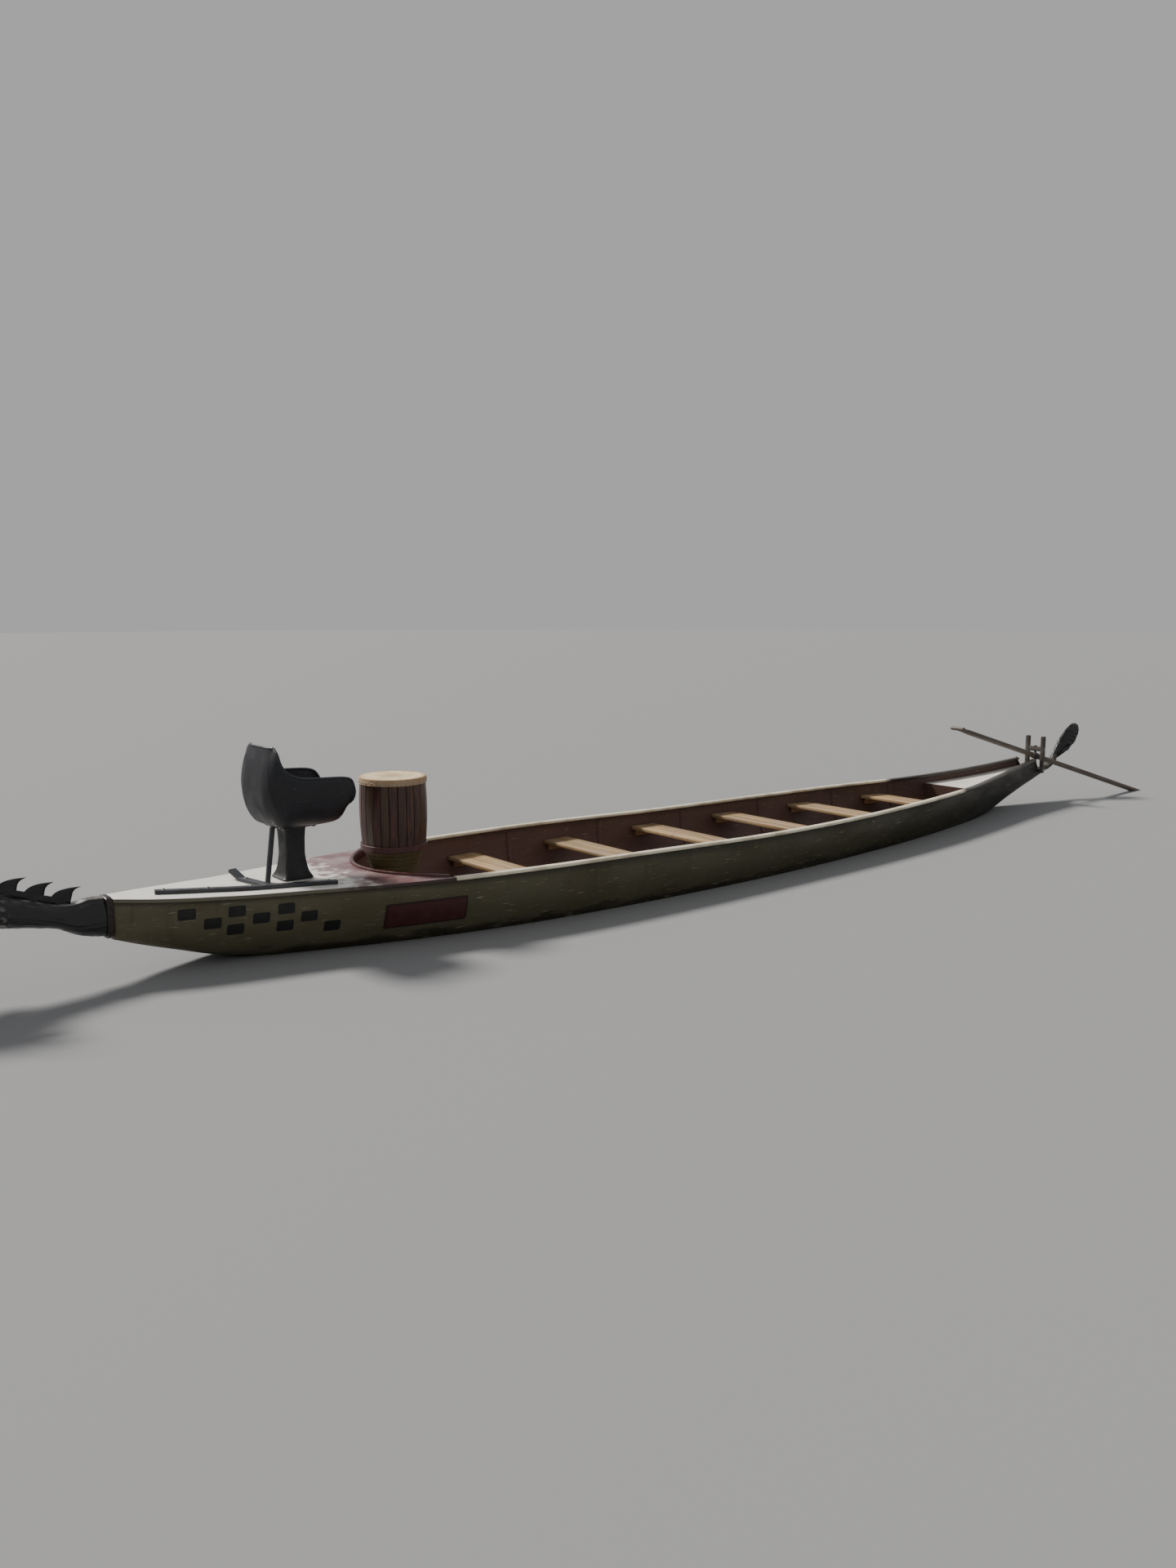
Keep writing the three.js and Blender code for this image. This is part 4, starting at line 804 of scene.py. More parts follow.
# %% Timber finish
def timber(name, light, dark, ring=0.006, roughness=0.5, grey=None, greying=0.0, coat=0.0, tone_spread=0.25):
    material, tree, shader = finish(name, roughness=roughness, ior=1.5, coat=coat)
    grid = node(tree, "ShaderNodeTexCoord", out="UV")
    where = node(tree, "ShaderNodeTexCoord", out="Object")
    tone = node(tree, "ShaderNodeAttribute", out="Fac", attribute_name="tone")
    shift = node(tree, "ShaderNodeMath", {0: tone, 1: 37.0}, out=0, operation="MULTIPLY")
    grid = node(tree, "ShaderNodeVectorMath", {0: grid, 1: shift}, out=0, operation="ADD")
    rings = patches(tree, grid, (0.5, ring, ring), 0.36, 0.62, detail=6)
    pores = patches(tree, grid, (0.05, 0.0022, 0.0022), 0.56, 0.66, detail=2)
    base = node(tree, "ShaderNodeMix", {0: rings, 6: linear(dark), 7: linear(light)},
                out=2, data_type="RGBA")
    pores_seen = node(tree, "ShaderNodeMath", {0: pores, 1: 0.45}, out=0, operation="MULTIPLY")
    base = node(tree, "ShaderNodeMix", {0: pores_seen, 6: base, 7: linear(dark)}, out=2, data_type="RGBA")
    bright = node(tree, "ShaderNodeMapRange",
                  {"Value": tone, "To Min": 1 - tone_spread, "To Max": 1 + tone_spread * 0.5}, out=0)
    base = node(tree, "ShaderNodeVectorMath", {0: base, "Scale": bright}, out=0, operation="SCALE")
    if grey:
        old = patches(tree, where, (0.12, 0.12, 0.12), 0.38, 0.66, detail=8)
        old = node(tree, "ShaderNodeMath", {0: old, 1: greying}, out=0, operation="MULTIPLY")
        base = node(tree, "ShaderNodeMix", {0: old, 6: base, 7: linear(grey)}, out=2, data_type="RGBA")
    dirt = patches(tree, where, 0.05, 0.55, 0.75, detail=6, offset=4.0)
    dirt = node(tree, "ShaderNodeMath", {0: dirt, 1: 0.35}, out=0, operation="MULTIPLY")
    base = node(tree, "ShaderNodeMix", {0: dirt, 6: base, 7: linear(dark)}, out=2, data_type="RGBA")
    rough = node(tree, "ShaderNodeMapRange",
                 {"Value": rings, "To Min": roughness + 0.1, "To Max": roughness - 0.05}, out=0)
    finished(tree, shader, base, rough, rings, 0.0005)
    return material


thwart_wood = timber("varnished_spruce", "#c3a67c", "#8a6a45", coat=0.2, grey="#8f8676", greying=0.35)
floor_wood = timber("bare_larch_boards", "#8d745a", "#5b4733", roughness=0.65, grey="#7b7468", greying=0.6)
frame_wood = timber("weathered_oak", "#564e46", "#332d27", roughness=0.6, grey="#5a5753", greying=0.7)
oar_wood = timber("oiled_ash", "#6c6055", "#473c34", ring=0.004, roughness=0.45, grey="#66625d",
                  greying=0.45)

# %% [markdown]
# ### Metal
# Screws and bolts are zinc plated: a dull grey metal with a faint crystal pattern. The seat's strut,
# the bars on the deck and the oar's swivel are steel under dark paint, chipped to rust in places.

# %% Metal finishes
def zinc():
    material, tree, shader = finish("zinc_plated_steel", roughness=0.42, metallic=1.0)
    where = node(tree, "ShaderNodeTexCoord", out="Object")
    spangle = patches(tree, where, 0.004, 0.35, 0.65, detail=2)
    base = node(tree, "ShaderNodeMix", {0: spangle, 6: linear("#8f9294"), 7: linear("#b3b5b4")},
                out=2, data_type="RGBA")
    rough = node(tree, "ShaderNodeMapRange", {"Value": spangle, "To Min": 0.35, "To Max": 0.55}, out=0)
    finished(tree, shader, base, rough, spangle, 0.0002)
    return material


def painted_steel(name, paint, rust, rusting=0.5):
    material, tree, shader = finish(name, roughness=0.42, ior=1.5)
    where = node(tree, "ShaderNodeTexCoord", out="Object")
    chips = patches(tree, where, 0.022, 0.60, 0.66, detail=9)
    chips = node(tree, "ShaderNodeMath", {0: chips, 1: rusting}, out=0, operation="MULTIPLY")
    cloud = patches(tree, where, 0.09, 0.3, 0.7)
    cloud = node(tree, "ShaderNodeMath", {0: cloud, 1: 0.25}, out=0, operation="MULTIPLY")
    base = node(tree, "ShaderNodeMix", {0: cloud, 6: linear(paint), 7: linear("#4a4c50")},
                out=2, data_type="RGBA")
    base = node(tree, "ShaderNodeMix", {0: chips, 6: base, 7: linear(rust)}, out=2, data_type="RGBA")
    rough = node(tree, "ShaderNodeMapRange", {"Value": chips, "To Min": 0.38, "To Max": 0.85}, out=0)
    finished(tree, shader, base, rough, chips, 0.0004)
    return material


zinc_steel = zinc()
bar_steel = painted_steel("dark_painted_steel", "#23262d", "#5c3a26")

# %% [markdown]
# ## Thwarts
# Each thwart is two boards side by side, screwed down at their ends to a cleat that is glassed to the
# hull. A board is swept across the boat, and its ends are trimmed to the hull's inner skin.

# %% Boards across the boat
shades = np.random.default_rng(7)


def board(low, high, grain=0, radius=0.004, steps=14):
    """A box with rounded long edges; grain is the axis along which it lies, 0 for X or 1 for Y."""
    low, high = np.asarray(low, float), np.asarray(high, float)
    path = np.repeat(((low + high) / 2)[None], steps, axis=0)
    path[:, grain] = np.linspace(low[grain], high[grain], steps)
    size = high - low
    outline = rounded(size[1 - grain], size[2], radius)
    return swept(path, outline, tone=shades.random())


def fitted(part, under):
    """Trims a board's ends to the hull: each point is brought in to the half breadth at its own x."""
    x, y = part["points"][:, 0], part["points"][:, 1]
    limit = side_at(x, under, WALL) - 0.004
    part["points"][:, 1] = np.clip(y, -limit, limit)
    return part


def screw(x, y, z, radius=0.0055):
    return dome((x, y, z), (0, 0, 1), radius, 0.0018, count=10, rings=3)


CLEAT_DEPTH, CLEAT_WIDTH = 0.045, 0.022


def cleat(x, width, top):
    """A short batten along the hull's side: at each station its outer face stands off the skin by
    less than a millimetre, at whichever of its two edges is nearer."""
    at = np.linspace(x + width / 2 - 0.03, x - width / 2 + 0.03, 12)
    outer = np.minimum(side_at(at, top, WALL), side_at(at, top - CLEAT_DEPTH, WALL)) - GLUE_LINE
    path = np.stack([at, outer - CLEAT_WIDTH / 2, np.full(len(at), top - CLEAT_DEPTH / 2)], -1)
    return both_sides(swept(path, rounded(CLEAT_WIDTH, CLEAT_DEPTH, 0.004), tone=shades.random()))


BENCH_TOP, BENCH_WIDTH, BENCH_THICKNESS, BOARD_GAP, SCREW_PITCH = 0.19, 0.2, 0.024, 0.006, 0.048


def thwart(x, width):
    under = BENCH_TOP - BENCH_THICKNESS
    half = float(side_at(np.array(x - width / 2), under, WALL)) + 0.03
    parts, screws = [], []
    for back, front in ((x - width / 2, x - BOARD_GAP / 2), (x + BOARD_GAP / 2, x + width / 2)):
        parts.append(fitted(board((back, -half, under), (front, half, BENCH_TOP), grain=1), under))
        middle = (back + front) / 2
        edge = float(side_at(np.array(middle), under, WALL)) - 0.02
        screws += [screw(middle + end * SCREW_PITCH / 2, side * edge, BENCH_TOP)
                   for side in (-1, 1) for end in (-1, 1)]
    return together(parts + [cleat(x, width, under)]), together(screws)


bench_places = [BENCH_FIRST - i * BENCH_PITCH for i in range(BENCHES)]
made = [thwart(x, BENCH_WIDTH) for x in bench_places]
piece("thwart_boards", together([m[0] for m in made]), thwart_wood,
      stands_for=[f"bench_{i + 1}" for i in range(BENCHES)])
DRUM_X, DRUM_THWART = 2.5, 0.3
drum_thwart, drum_screws = thwart(DRUM_X, DRUM_THWART)
piece("drum_thwart_boards", drum_thwart, thwart_wood, stands_for=("drum_thwart",))
piece("thwart_screws", together([m[1] for m in made] + [drum_screws]), zinc_steel)

# %% [markdown]
# ## Floor
# Five long boards lie side by side on bearers over the keel, with a foot batten across them behind
# each of the five forward thwarts.

# %% Floor boards
FLOOR_TOP, FLOOR_THICKNESS, FLOOR_HALF, FLOOR_ENDS = -0.125, 0.015, 0.17, (-1.9, 1.45)
FLOOR_BOARDS, FLOOR_GAP, BATTEN_HEIGHT = 5, 0.006, 0.028
width = 2 * FLOOR_HALF / FLOOR_BOARDS
bearer_top = FLOOR_TOP - FLOOR_THICKNESS
floor_parts = []
for k in range(FLOOR_BOARDS):
    from_y, to_y = -FLOOR_HALF + k * width, -FLOOR_HALF + (k + 1) * width
    floor_parts.append(board((FLOOR_ENDS[0], from_y + FLOOR_GAP / 2, bearer_top),
                             (FLOOR_ENDS[1], to_y - FLOOR_GAP / 2, FLOOR_TOP)))
floor_screws = []
for i in range(BENCHES - 1):
    x = BENCH_FIRST - (i + 0.55) * BENCH_PITCH
    floor_parts.append(board((x - 0.014, -FLOOR_HALF + 0.005, FLOOR_TOP - 0.001),
                             (x + 0.014, FLOOR_HALF - 0.005, FLOOR_TOP + BATTEN_HEIGHT), grain=1))
    keel = float(lines_at(np.array(x))[2])
    floor_parts.append(board((x - 0.02, -0.026, keel + WALL), (x + 0.02, 0.026, bearer_top), grain=1))
    floor_screws += [screw(x, -FLOOR_HALF + (k + 0.5) * width, FLOOR_TOP + BATTEN_HEIGHT, 0.005)
                     for k in range(FLOOR_BOARDS)]
piece("floor_planks", together(floor_parts), floor_wood,
      stands_for=("floor_boards",))
piece("floor_screws", together(floor_screws), zinc_steel)

# %% [markdown]
# ## The dragon's neck
# The neck and head are carved from one log each. A table gives the middle line's stations: where each
# stands, its half width, its top and its underside. Round each station runs a superellipse, and the
# carving moves each of its points out or in along the spoke from the middle.

# %% Carved forms
def carving(rows, power, count, around, cut=None, depth=0.0, shift=0.0):
    """Rings y = half c^(2/n), z = middle + tall s^(2/n), with c and s the cosine and sine of the way
    round. cut gives the relief from -1 to 1 at each (share along, share round)."""
    rows = np.asarray(rows, float)
    at = through(rows, count)
    angle = (np.arange(around) + 0.5) / around * 2 * np.pi
    bent = [np.sign(v) * np.abs(v) ** (2 / power) for v in (np.cos(angle), np.sin(angle))]
    middle, tall = (at[:, 2] + at[:, 3]) / 2, (at[:, 2] - at[:, 3]) / 2
    y, z = at[:, 1, None] * bent[0], middle[:, None] + tall[:, None] * bent[1]
    x = np.broadcast_to(at[:, :1] + shift, y.shape)
    relief = np.zeros(y.shape)
    if cut:
        relief = cut(*np.meshgrid(np.linspace(0, 1, count), angle / (2 * np.pi), indexing="ij"))
        spoke = unit(np.stack([y, z - middle[:, None]], -1))
        y, z = y + relief * depth * spoke[..., 0], z + relief * depth * spoke[..., 1]
    return loft(np.stack([x, y, z], -1), relief=relief)


def scales(along, round_, rows, columns):
    """Overlapping scales: each is a dome 1 - d^2 about its own centre, every other row is moved by
    half a scale, and the highest dome at a point is the one that shows."""
    s, t = along * rows, round_ * columns
    best = np.zeros(np.shape(s))
    for step in (0, 1):
        row = np.floor(s) + step
        offset = 0.5 * (row % 2)
        centre = np.round(t - offset) + offset
        distance = ((s - row) / 1.02) ** 2 + ((t - centre) / 0.62) ** 2
        best = np.maximum(best, np.clip(1 - distance, 0, 1) ** 0.6)
    return best * 2 - 1


NECK = [(4.075, 0.062, 0.396, 0.207), (4.150, 0.066, 0.402, 0.220), (4.215, 0.070, 0.389, 0.241),
        (4.300, 0.076, 0.397, 0.284), (4.390, 0.080, 0.427, 0.303), (4.540, 0.088, 0.482, 0.333),
        (4.660, 0.096, 0.540, 0.378), (4.760, 0.106, 0.596, 0.425)]


def neck_cut(along, round_):
    """Shallow lengthwise grooves on the lower neck that give way to scales near the head. The back,
    a quarter of the way round, stands up as a smooth band on either side of the crest; its high
    relief makes the finish pale there, as a painted highlight."""
    swirl = np.sin(2 * np.pi * (round_ * 13 + 0.7 * along + 0.25 * np.sin(along * 9)))
    grooves = -0.45 * np.abs(swirl) ** 0.6
    blend = eased((along - 0.50) / 0.16)
    from_back = np.abs(round_ - 0.25)
    flank = eased((from_back - 0.070) / 0.03)
    # The band's relief turns the finish pale: a painted highlight along the neck's top.
    band = 0.95 * (1 - eased((from_back - 0.060) / 0.012))
    return (grooves * (1 - blend) + scales(along, round_, 20, 13) * blend) * flank + band


neck = carving(NECK, 2.6, 300, 130, neck_cut, 0.0045)
piece("dragon_neck_carving", neck, black_enamel_with_painted_highlight, stands_for=("dragon_neck",), crisp=60)

collar_x = np.array([0.0, 0.001, 0.004, 0.0155, 0.0270, 0.0300, 0.0310]) + 4.0503
collar_in = np.array([0.003, 0.001, 0.0, -0.0010, 0.0, 0.001, 0.003])
collar = carving([(x, 0.069 - d, 0.402 - d, 0.201 + d) for x, d in zip(collar_x, collar_in)], 4, 7, 96)
studs = [dome((4.0658, 0.0692, z), (0, 1, 0), 0.0065, 0.004) for z in (0.235, 0.275, 0.315, 0.355)]
collar = together([collar, both_sides(together(studs))])
piece("bow_collar_ring", collar, dark_oxblood, stands_for=("bow_collar",))

# %% [markdown]
# ## Crest
# A board stands along the back of the neck, cut into five broad fins that grow towards the head and
# end in thin tips hooked aft. Each is a lens in section, drawn between a leading and a trailing edge.

# %% Crest
def crest_foot(x):
    """Height of the fins' foot: 9 mm above the table's line of the neck's back."""
    rows = np.array(NECK)
    return faired(rows[:, 0], rows[:, 2], x) + 0.009


def spike(tip, tall, half=0.011, levels=26, around=14):
    """Level h runs from the foot to the tip along both edges; round each level goes an ellipse whose
    long axis joins the edges and whose short one shrinks towards the tip."""
    foot = float(crest_foot(tip + 0.06))
    trailing = through([(0.056, -0.012), (0.050, 0.15 * tall), (0.045, 0.42 * tall), (0.040, 0.66 * tall),
                        (0.028, 0.84 * tall), (0, tall)], levels)
    leading = through([(0.146, 0.06 * tall), (0.143, 0.35 * tall), (0.130, 0.68 * tall),
                       (0.104, 0.90 * tall), (0.066, 1.00 * tall), (0.034, 1.01 * tall), (0, tall)], levels)
    middle, reach = (trailing + leading) / 2, (leading - trailing) / 2
    h = np.linspace(0, 1, levels)
    thick = half * (1 - h) ** 0.45 + 0.0012
    loop = circle(1.0, around)
    flat = middle[:, None] + reach[:, None] * loop[None, :, :1]
    y = thick[:, None] * loop[None, :, 1] * (1 - 0.35 * loop[None, :, 0] ** 2)
    ribs = np.sin((loop[:, 0] * 2.4)[None] * np.pi) * (1 - h[:, None])
    rings = np.stack([flat[..., 0] + tip, y * (1 + 0.12 * ribs), flat[..., 1] + foot], -1)
    return loft(rings, relief=np.abs(loop[None, :, 0]) ** 6 * np.ones((levels, 1)))


FINS = [(4.170, 0.066), (4.290, 0.082), (4.406, 0.079), (4.512, 0.090), (4.596, 0.098)]
spikes = [spike(tip, tall) for tip, tall in FINS]
ridge_x = np.linspace(4.226, 4.714, 90)
ridge_size = np.ones((len(ridge_x), 2))
ridge_size[:5, 1] = (0.40, 0.66, 0.82, 0.92, 0.98)
ridge_path = np.stack([ridge_x, np.zeros(len(ridge_x)), crest_foot(ridge_x) + 0.007], -1)
ridge = swept(ridge_path, circle(1.0, 14) * [0.010, 0.022], scale=ridge_size)
piece("neck_crest_spikes", together(spikes + [ridge]), black_enamel, stands_for=("neck_crest",))

# %% [markdown]
# ## Head
# The photograph cuts the head off at its edge, so it follows the common pattern: a long snout with
# a raised nose, heavy brows, an open mouth with a row of teeth above and below, horns swept back,
# leaf-shaped ears, and locks of mane behind the cheeks.

# %% Skull and jaw
CRANIUM = [(4.760, 0.106, 0.596, 0.425), (4.830, 0.124, 0.652, 0.442), (4.905, 0.132, 0.682, 0.470),
           (4.975, 0.118, 0.664, 0.492), (5.040, 0.092, 0.622, 0.502), (5.120, 0.080, 0.604, 0.505),
           (5.200, 0.086, 0.626, 0.502), (5.262, 0.074, 0.618, 0.500), (5.292, 0.044, 0.590, 0.512)]
LOWER_JAW = [(4.775, 0.058, 0.440, 0.378), (4.850, 0.084, 0.460, 0.372), (4.920, 0.080, 0.436, 0.366),
             (5.000, 0.070, 0.410, 0.352), (5.080, 0.064, 0.394, 0.342), (5.160, 0.060, 0.384, 0.338),
             (5.220, 0.042, 0.378, 0.346)]


def skull_cut(along, round_):
    """Scales on the back of the head and wrinkles across the snout; the palate stays smooth."""
    wrinkles = np.sin(2 * np.pi * along * 15) * np.clip(np.sin(2 * np.pi * round_), 0, 1) ** 0.5
    behind = eased((0.42 - along) / 0.12)
    roof = eased((np.abs(round_ - 0.75) - 0.10) / 0.08)
    return (scales(along, round_, 15, 13) * behind + 0.7 * wrinkles * eased((along - 0.5) / 0.1)) * roof


def jaw_cut(along, round_):
    """Scales on the cheeks and underside of the jaw; its top, under the tongue, stays smooth."""
    return scales(along, round_, 13, 9) * eased((np.abs(round_ - 0.25) - 0.16) / 0.05)


skull = carving(CRANIUM, 2.4, 240, 120, skull_cut, 0.004, shift=0.0003)
piece("dragon_skull", skull, black_enamel, stands_for=("dragon_head",), crisp=60)
jaw = carving(LOWER_JAW, 2.6, 150, 80, jaw_cut, 0.0035)
piece("dragon_jaw", jaw, black_enamel, stands_for=("lower_jaw",), crisp=60)

# %% [markdown]
# Brows, nostrils, lips, whiskers and locks of hair are all tapering strands along a curve. A strand's
# grooves twist with it, as a carver's gouge follows a lock of hair.

# %% Strands
def strand(points, radii, count=40, around=16, flat=1.0, locks=0, upward=(0, 0, 1)):
    """A round or flattened rod through the points whose radius follows its own short table; locks
    cut that many grooves into it."""
    path = through(points, count)
    share = np.linspace(0, 1, count)
    radius = np.maximum(faired(np.linspace(0, 1, len(radii)), radii, share), 0.0008)
    angle = np.arange(around) / around * 2 * np.pi
    wave = np.cos(locks * angle[None] + 6 * share[:, None]) if locks else np.zeros((count, around))
    side, over = square_to(path, upward)
    size = radius[:, None] * (1 + 0.13 * wave)
    rings = (path[:, None] + (size * np.cos(angle))[..., None] * side[:, None]
             + (size * flat * np.sin(angle))[..., None] * over[:, None])
    return loft(rings, relief=wave * 0.9)


brows = strand([(4.885, 0.112, 0.650), (4.945, 0.108, 0.688), (5.005, 0.078, 0.676), (5.052, 0.052, 0.640)],
               [0.012, 0.026, 0.020, 0.004], locks=5)
nostrils = strand([(5.262, 0.030, 0.640), (5.285, 0.052, 0.628), (5.270, 0.066, 0.596),
                   (5.235, 0.074, 0.604)], [0.010, 0.017, 0.014, 0.006])
upper_lip = strand([(4.870, 0.120, 0.500), (4.980, 0.110, 0.502), (5.090, 0.082, 0.508),
                    (5.200, 0.084, 0.506), (5.270, 0.055, 0.512), (5.284, 0.010, 0.518)],
                   [0.010, 0.012, 0.012, 0.013, 0.010, 0.010])
lower_lip = strand([(4.880, 0.080, 0.452), (4.980, 0.070, 0.418), (5.080, 0.062, 0.398),
                    (5.170, 0.054, 0.386), (5.215, 0.030, 0.380), (5.222, 0.006, 0.380)],
                   [0.007, 0.010, 0.010, 0.010, 0.009, 0.008])
piece("brows_and_lips", both_sides(together([brows, nostrils, upper_lip, lower_lip])), oxblood_enamel)

mane = [strand([(4.83, 0.118, z), (4.76, 0.150 + spread, z + 0.02 * lift),
                (4.66, 0.150 + spread, z + 0.05 * lift), (4.57, 0.128 + spread, z + 0.03 * lift)],
               [0.020, 0.026, 0.020, 0.003], flat=0.55, locks=6)
        for z, spread, lift in ((0.560, 0.0, 1.6), (0.515, 0.010, 0.9), (0.470, 0.006, 0.1),
                                (0.430, -0.008, -0.6))]
beard = [strand([(x, y, 0.352), (x - 0.03, y * 1.2, 0.318), (x - 0.075, y * 1.3, 0.292),
                 (x - 0.125, y, 0.300)], [0.014, 0.020, 0.013, 0.002], flat=0.6, locks=5)
         for x, y in ((5.13, 0.022), (5.05, 0.036), (4.97, 0.044))]
piece("mane_and_beard", both_sides(together(mane + beard)), oxblood_enamel)

whisker = strand([(5.225, 0.084, 0.560), (5.200, 0.145, 0.590), (5.120, 0.195, 0.610), (5.010, 0.215, 0.580),
                  (4.930, 0.232, 0.600)], [0.008, 0.0075, 0.006, 0.0045, 0.0015], count=60, around=10)
piece("whiskers", both_sides(whisker), black_enamel)

# %% [markdown]
# Teeth are cones that lean back, the longest at the corner of the mouth and near its tip. The tongue
# is a flat, tapering strip with a furrow, lifted at its tip.

# %% Teeth, tongue and eyes
def tooth(x, y, z, tall, radius, down=True):
    turn = -1 if down else 1
    root, waist = (x, y, z - turn * 0.004), (x - 0.001, y, z + turn * tall * 0.55)
    tip = (x - 0.008, y * 0.98, z + turn * tall)
    return strand([root, waist, tip], [radius, radius * 0.7, 0.0008], count=9, around=10, upward=(1, 0, 0))


upper_x = np.linspace(4.93, 5.262, 11)
upper_y = faired([4.9, 5.0, 5.1, 5.2, 5.27], [0.112, 0.096, 0.076, 0.079, 0.048], upper_x)
lower_x = np.linspace(4.94, 5.20, 9)
lower_y = faired([4.9, 5.0, 5.1, 5.17, 5.21], [0.074, 0.064, 0.057, 0.050, 0.034], lower_x)
lower_z = faired([4.9, 5.0, 5.1, 5.2], [0.446, 0.416, 0.396, 0.388], lower_x)
teeth = [tooth(x, y, 0.497, 0.046 if i in (0, 9) else 0.026, 0.0085)
         for i, (x, y) in enumerate(zip(upper_x, upper_y))]
teeth += [tooth(x, y, z, 0.042 if i in (0, 7) else 0.024, 0.008, down=False)
          for i, (x, y, z) in enumerate(zip(lower_x, lower_y, lower_z))]
piece("teeth", both_sides(together(teeth)), ivory_enamel)

TONGUE = through([(4.905, 0.030, 0.439, 0.015), (5.000, 0.030, 0.415, 0.013), (5.100, 0.028, 0.404, 0.010),
                  (5.190, 0.024, 0.414, 0.008), (5.250, 0.008, 0.435, 0.003)], 70)
loop = circle(1.0, 28)
furrow = -0.5 * np.exp(-(loop[:, 0] / 0.22) ** 2) * (loop[:, 1] > 0)
tongue_y = TONGUE[:, 1:2] * loop[:, 0]
tongue_z = TONGUE[:, 2:3] + TONGUE[:, 3:] * (loop[:, 1] + furrow)
tongue = np.stack([np.broadcast_to(TONGUE[:, :1], tongue_y.shape), tongue_y, tongue_z], -1)
piece("dragon_tongue", loft(tongue, relief=np.tile(furrow, (len(TONGUE), 1))), mouth_enamel,
      stands_for=("tongue",))

EYEBALL, EYEBALL_RADIUS, GAZE = np.array([4.985, 0.092, 0.622]), 0.027, np.array([0.35, 0.92, 0.16])
arc = np.linspace(0.02, np.pi - 0.02, 26)
ball_outline = np.stack([EYEBALL_RADIUS * np.sin(arc), -EYEBALL_RADIUS * np.cos(arc)], -1)
ball = turned(ball_outline, EYEBALL, GAZE, 36)
piece("eyeballs", both_sides(ball), ivory_enamel, stands_for=("eye_port", "eye_starboard"))
gaze = unit(GAZE)
iris = dome(EYEBALL + gaze * 0.0235, gaze, 0.0145, 0.0048, count=30, rings=6)
piece("irises", both_sides(iris), mouth_enamel)
pupil = dome(EYEBALL + gaze * 0.0268, gaze, 0.0072, 0.0026, count=24, rings=5)
lid_turn = np.linspace(0, 2 * np.pi, 40, endpoint=False)
lid_side = unit(np.cross(gaze, [0, 0, 1]))
lid_over = np.cross(lid_side, gaze)
lid_centre = EYEBALL + gaze * 0.010
lid_path = lid_centre + 0.0275 * (np.cos(lid_turn)[:, None] * lid_side * 1.12
                                  + np.sin(lid_turn)[:, None] * lid_over * 0.92)
lid_out = unit(lid_path - lid_centre)
bead = circle(1.0, 12)
lid_ring = lid_path[:, None] + 0.0058 * (bead[None, :, :1] * lid_out[:, None] + bead[None, :, 1:] * gaze)
lid = loft(lid_ring, around_u=True)
piece("pupils_and_lids", both_sides(together([pupil, lid])), black_enamel)

# %% [markdown]
# The horns are ringed, so the radius swells and shrinks along them. An ear is a leaf whose section
# is a crescent, so it is hollow along one side.

# %% Horns and ears
horn_path = through([(4.890, 0.062, 0.640), (4.850, 0.084, 0.730), (4.760, 0.104, 0.800),
                     (4.640, 0.118, 0.830)], 120)
share = np.linspace(0, 1, 120)
rings_on_horn = 0.5 + 0.5 * np.cos(2 * np.pi * 13 * share)
horn_radius = faired(np.linspace(0, 1, 7), [0.030, 0.028, 0.025, 0.021, 0.016, 0.011, 0.004], share)
horn_size = horn_radius * (1 + 0.09 * (rings_on_horn - 0.6) * (share < 0.93))
horn = swept(horn_path, circle(1.0, 28), upward=(0, 1, 0), scale=horn_size,
             relief=np.repeat((rings_on_horn * 1.6 - 0.9)[:, None], 28, 1))
piece("horns", both_sides(horn), ivory_enamel, stands_for=("horn_port", "horn_starboard"))

ear_path = through([(4.870, 0.085, 0.585), (4.850, 0.115, 0.598), (4.815, 0.160, 0.622),
                    (4.750, 0.202, 0.652)], 60)
ear_size = faired(np.linspace(0, 1, 6), [0.030, 0.037, 0.038, 0.032, 0.020, 0.002], np.linspace(0, 1, 60))
loop = circle(1.0, 32)
hollow = -0.55 * np.exp(-(loop[:, 0] / 0.55) ** 2) * (loop[:, 1] > 0)
ear = swept(ear_path, np.stack([loop[:, 0], 0.5 * (loop[:, 1] + 1.5 * hollow)], -1), upward=(0, 0, 1),
            scale=ear_size, relief=np.tile(hollow * 1.4, (60, 1)))
piece("ears", both_sides(ear), black_enamel, stands_for=("ear_port", "ear_starboard"))

# %% [markdown]
# ## Tail
# A timber stem rises out of the stern and carries the tail: a leaf-shaped plume, carved into locks
# that run from its root to its tip and part a little at the edge.

# %% Tail
stem_wood = timber("tarred_oak", "#4d4640", "#2b2622", roughness=0.6, grey="#55514c", greying=0.5)
STEM = [(-4.2003, 0.038, 0.298, 0.262), (-4.275, 0.034, 0.340, 0.284), (-4.350, 0.028, 0.402, 0.320)]
stem = carving(STEM[::-1], 3, 60, 40, lambda a, r: 0.5 * np.sin(2 * np.pi * (r * 9 + a * 0.6)), 0.0012)
piece("tail_stem_timber", stem, stem_wood, stands_for=("tail_stem",))

ROOT, TIP = np.array([-4.325, 0, 0.352]), np.array([-4.733, 0, 0.620])
LEAF = np.array([(0, 0.024, 0.016), (0.15, 0.044, 0.028), (0.35, 0.072, 0.036), (0.6, 0.088, 0.038),
                 (0.8, 0.083, 0.032), (0.93, 0.058, 0.022), (1, 0.014, 0.008)])


def leaf_point(share, across, out):
    """Along the plume from root to tip, then across it in the boat's middle plane, then to port."""
    axis = TIP - ROOT
    lift = unit(np.array([axis[2], 0, -axis[0]]))
    return ROOT + share[..., None] * axis + across[..., None] * lift + out[..., None] * [0, 1, 0]


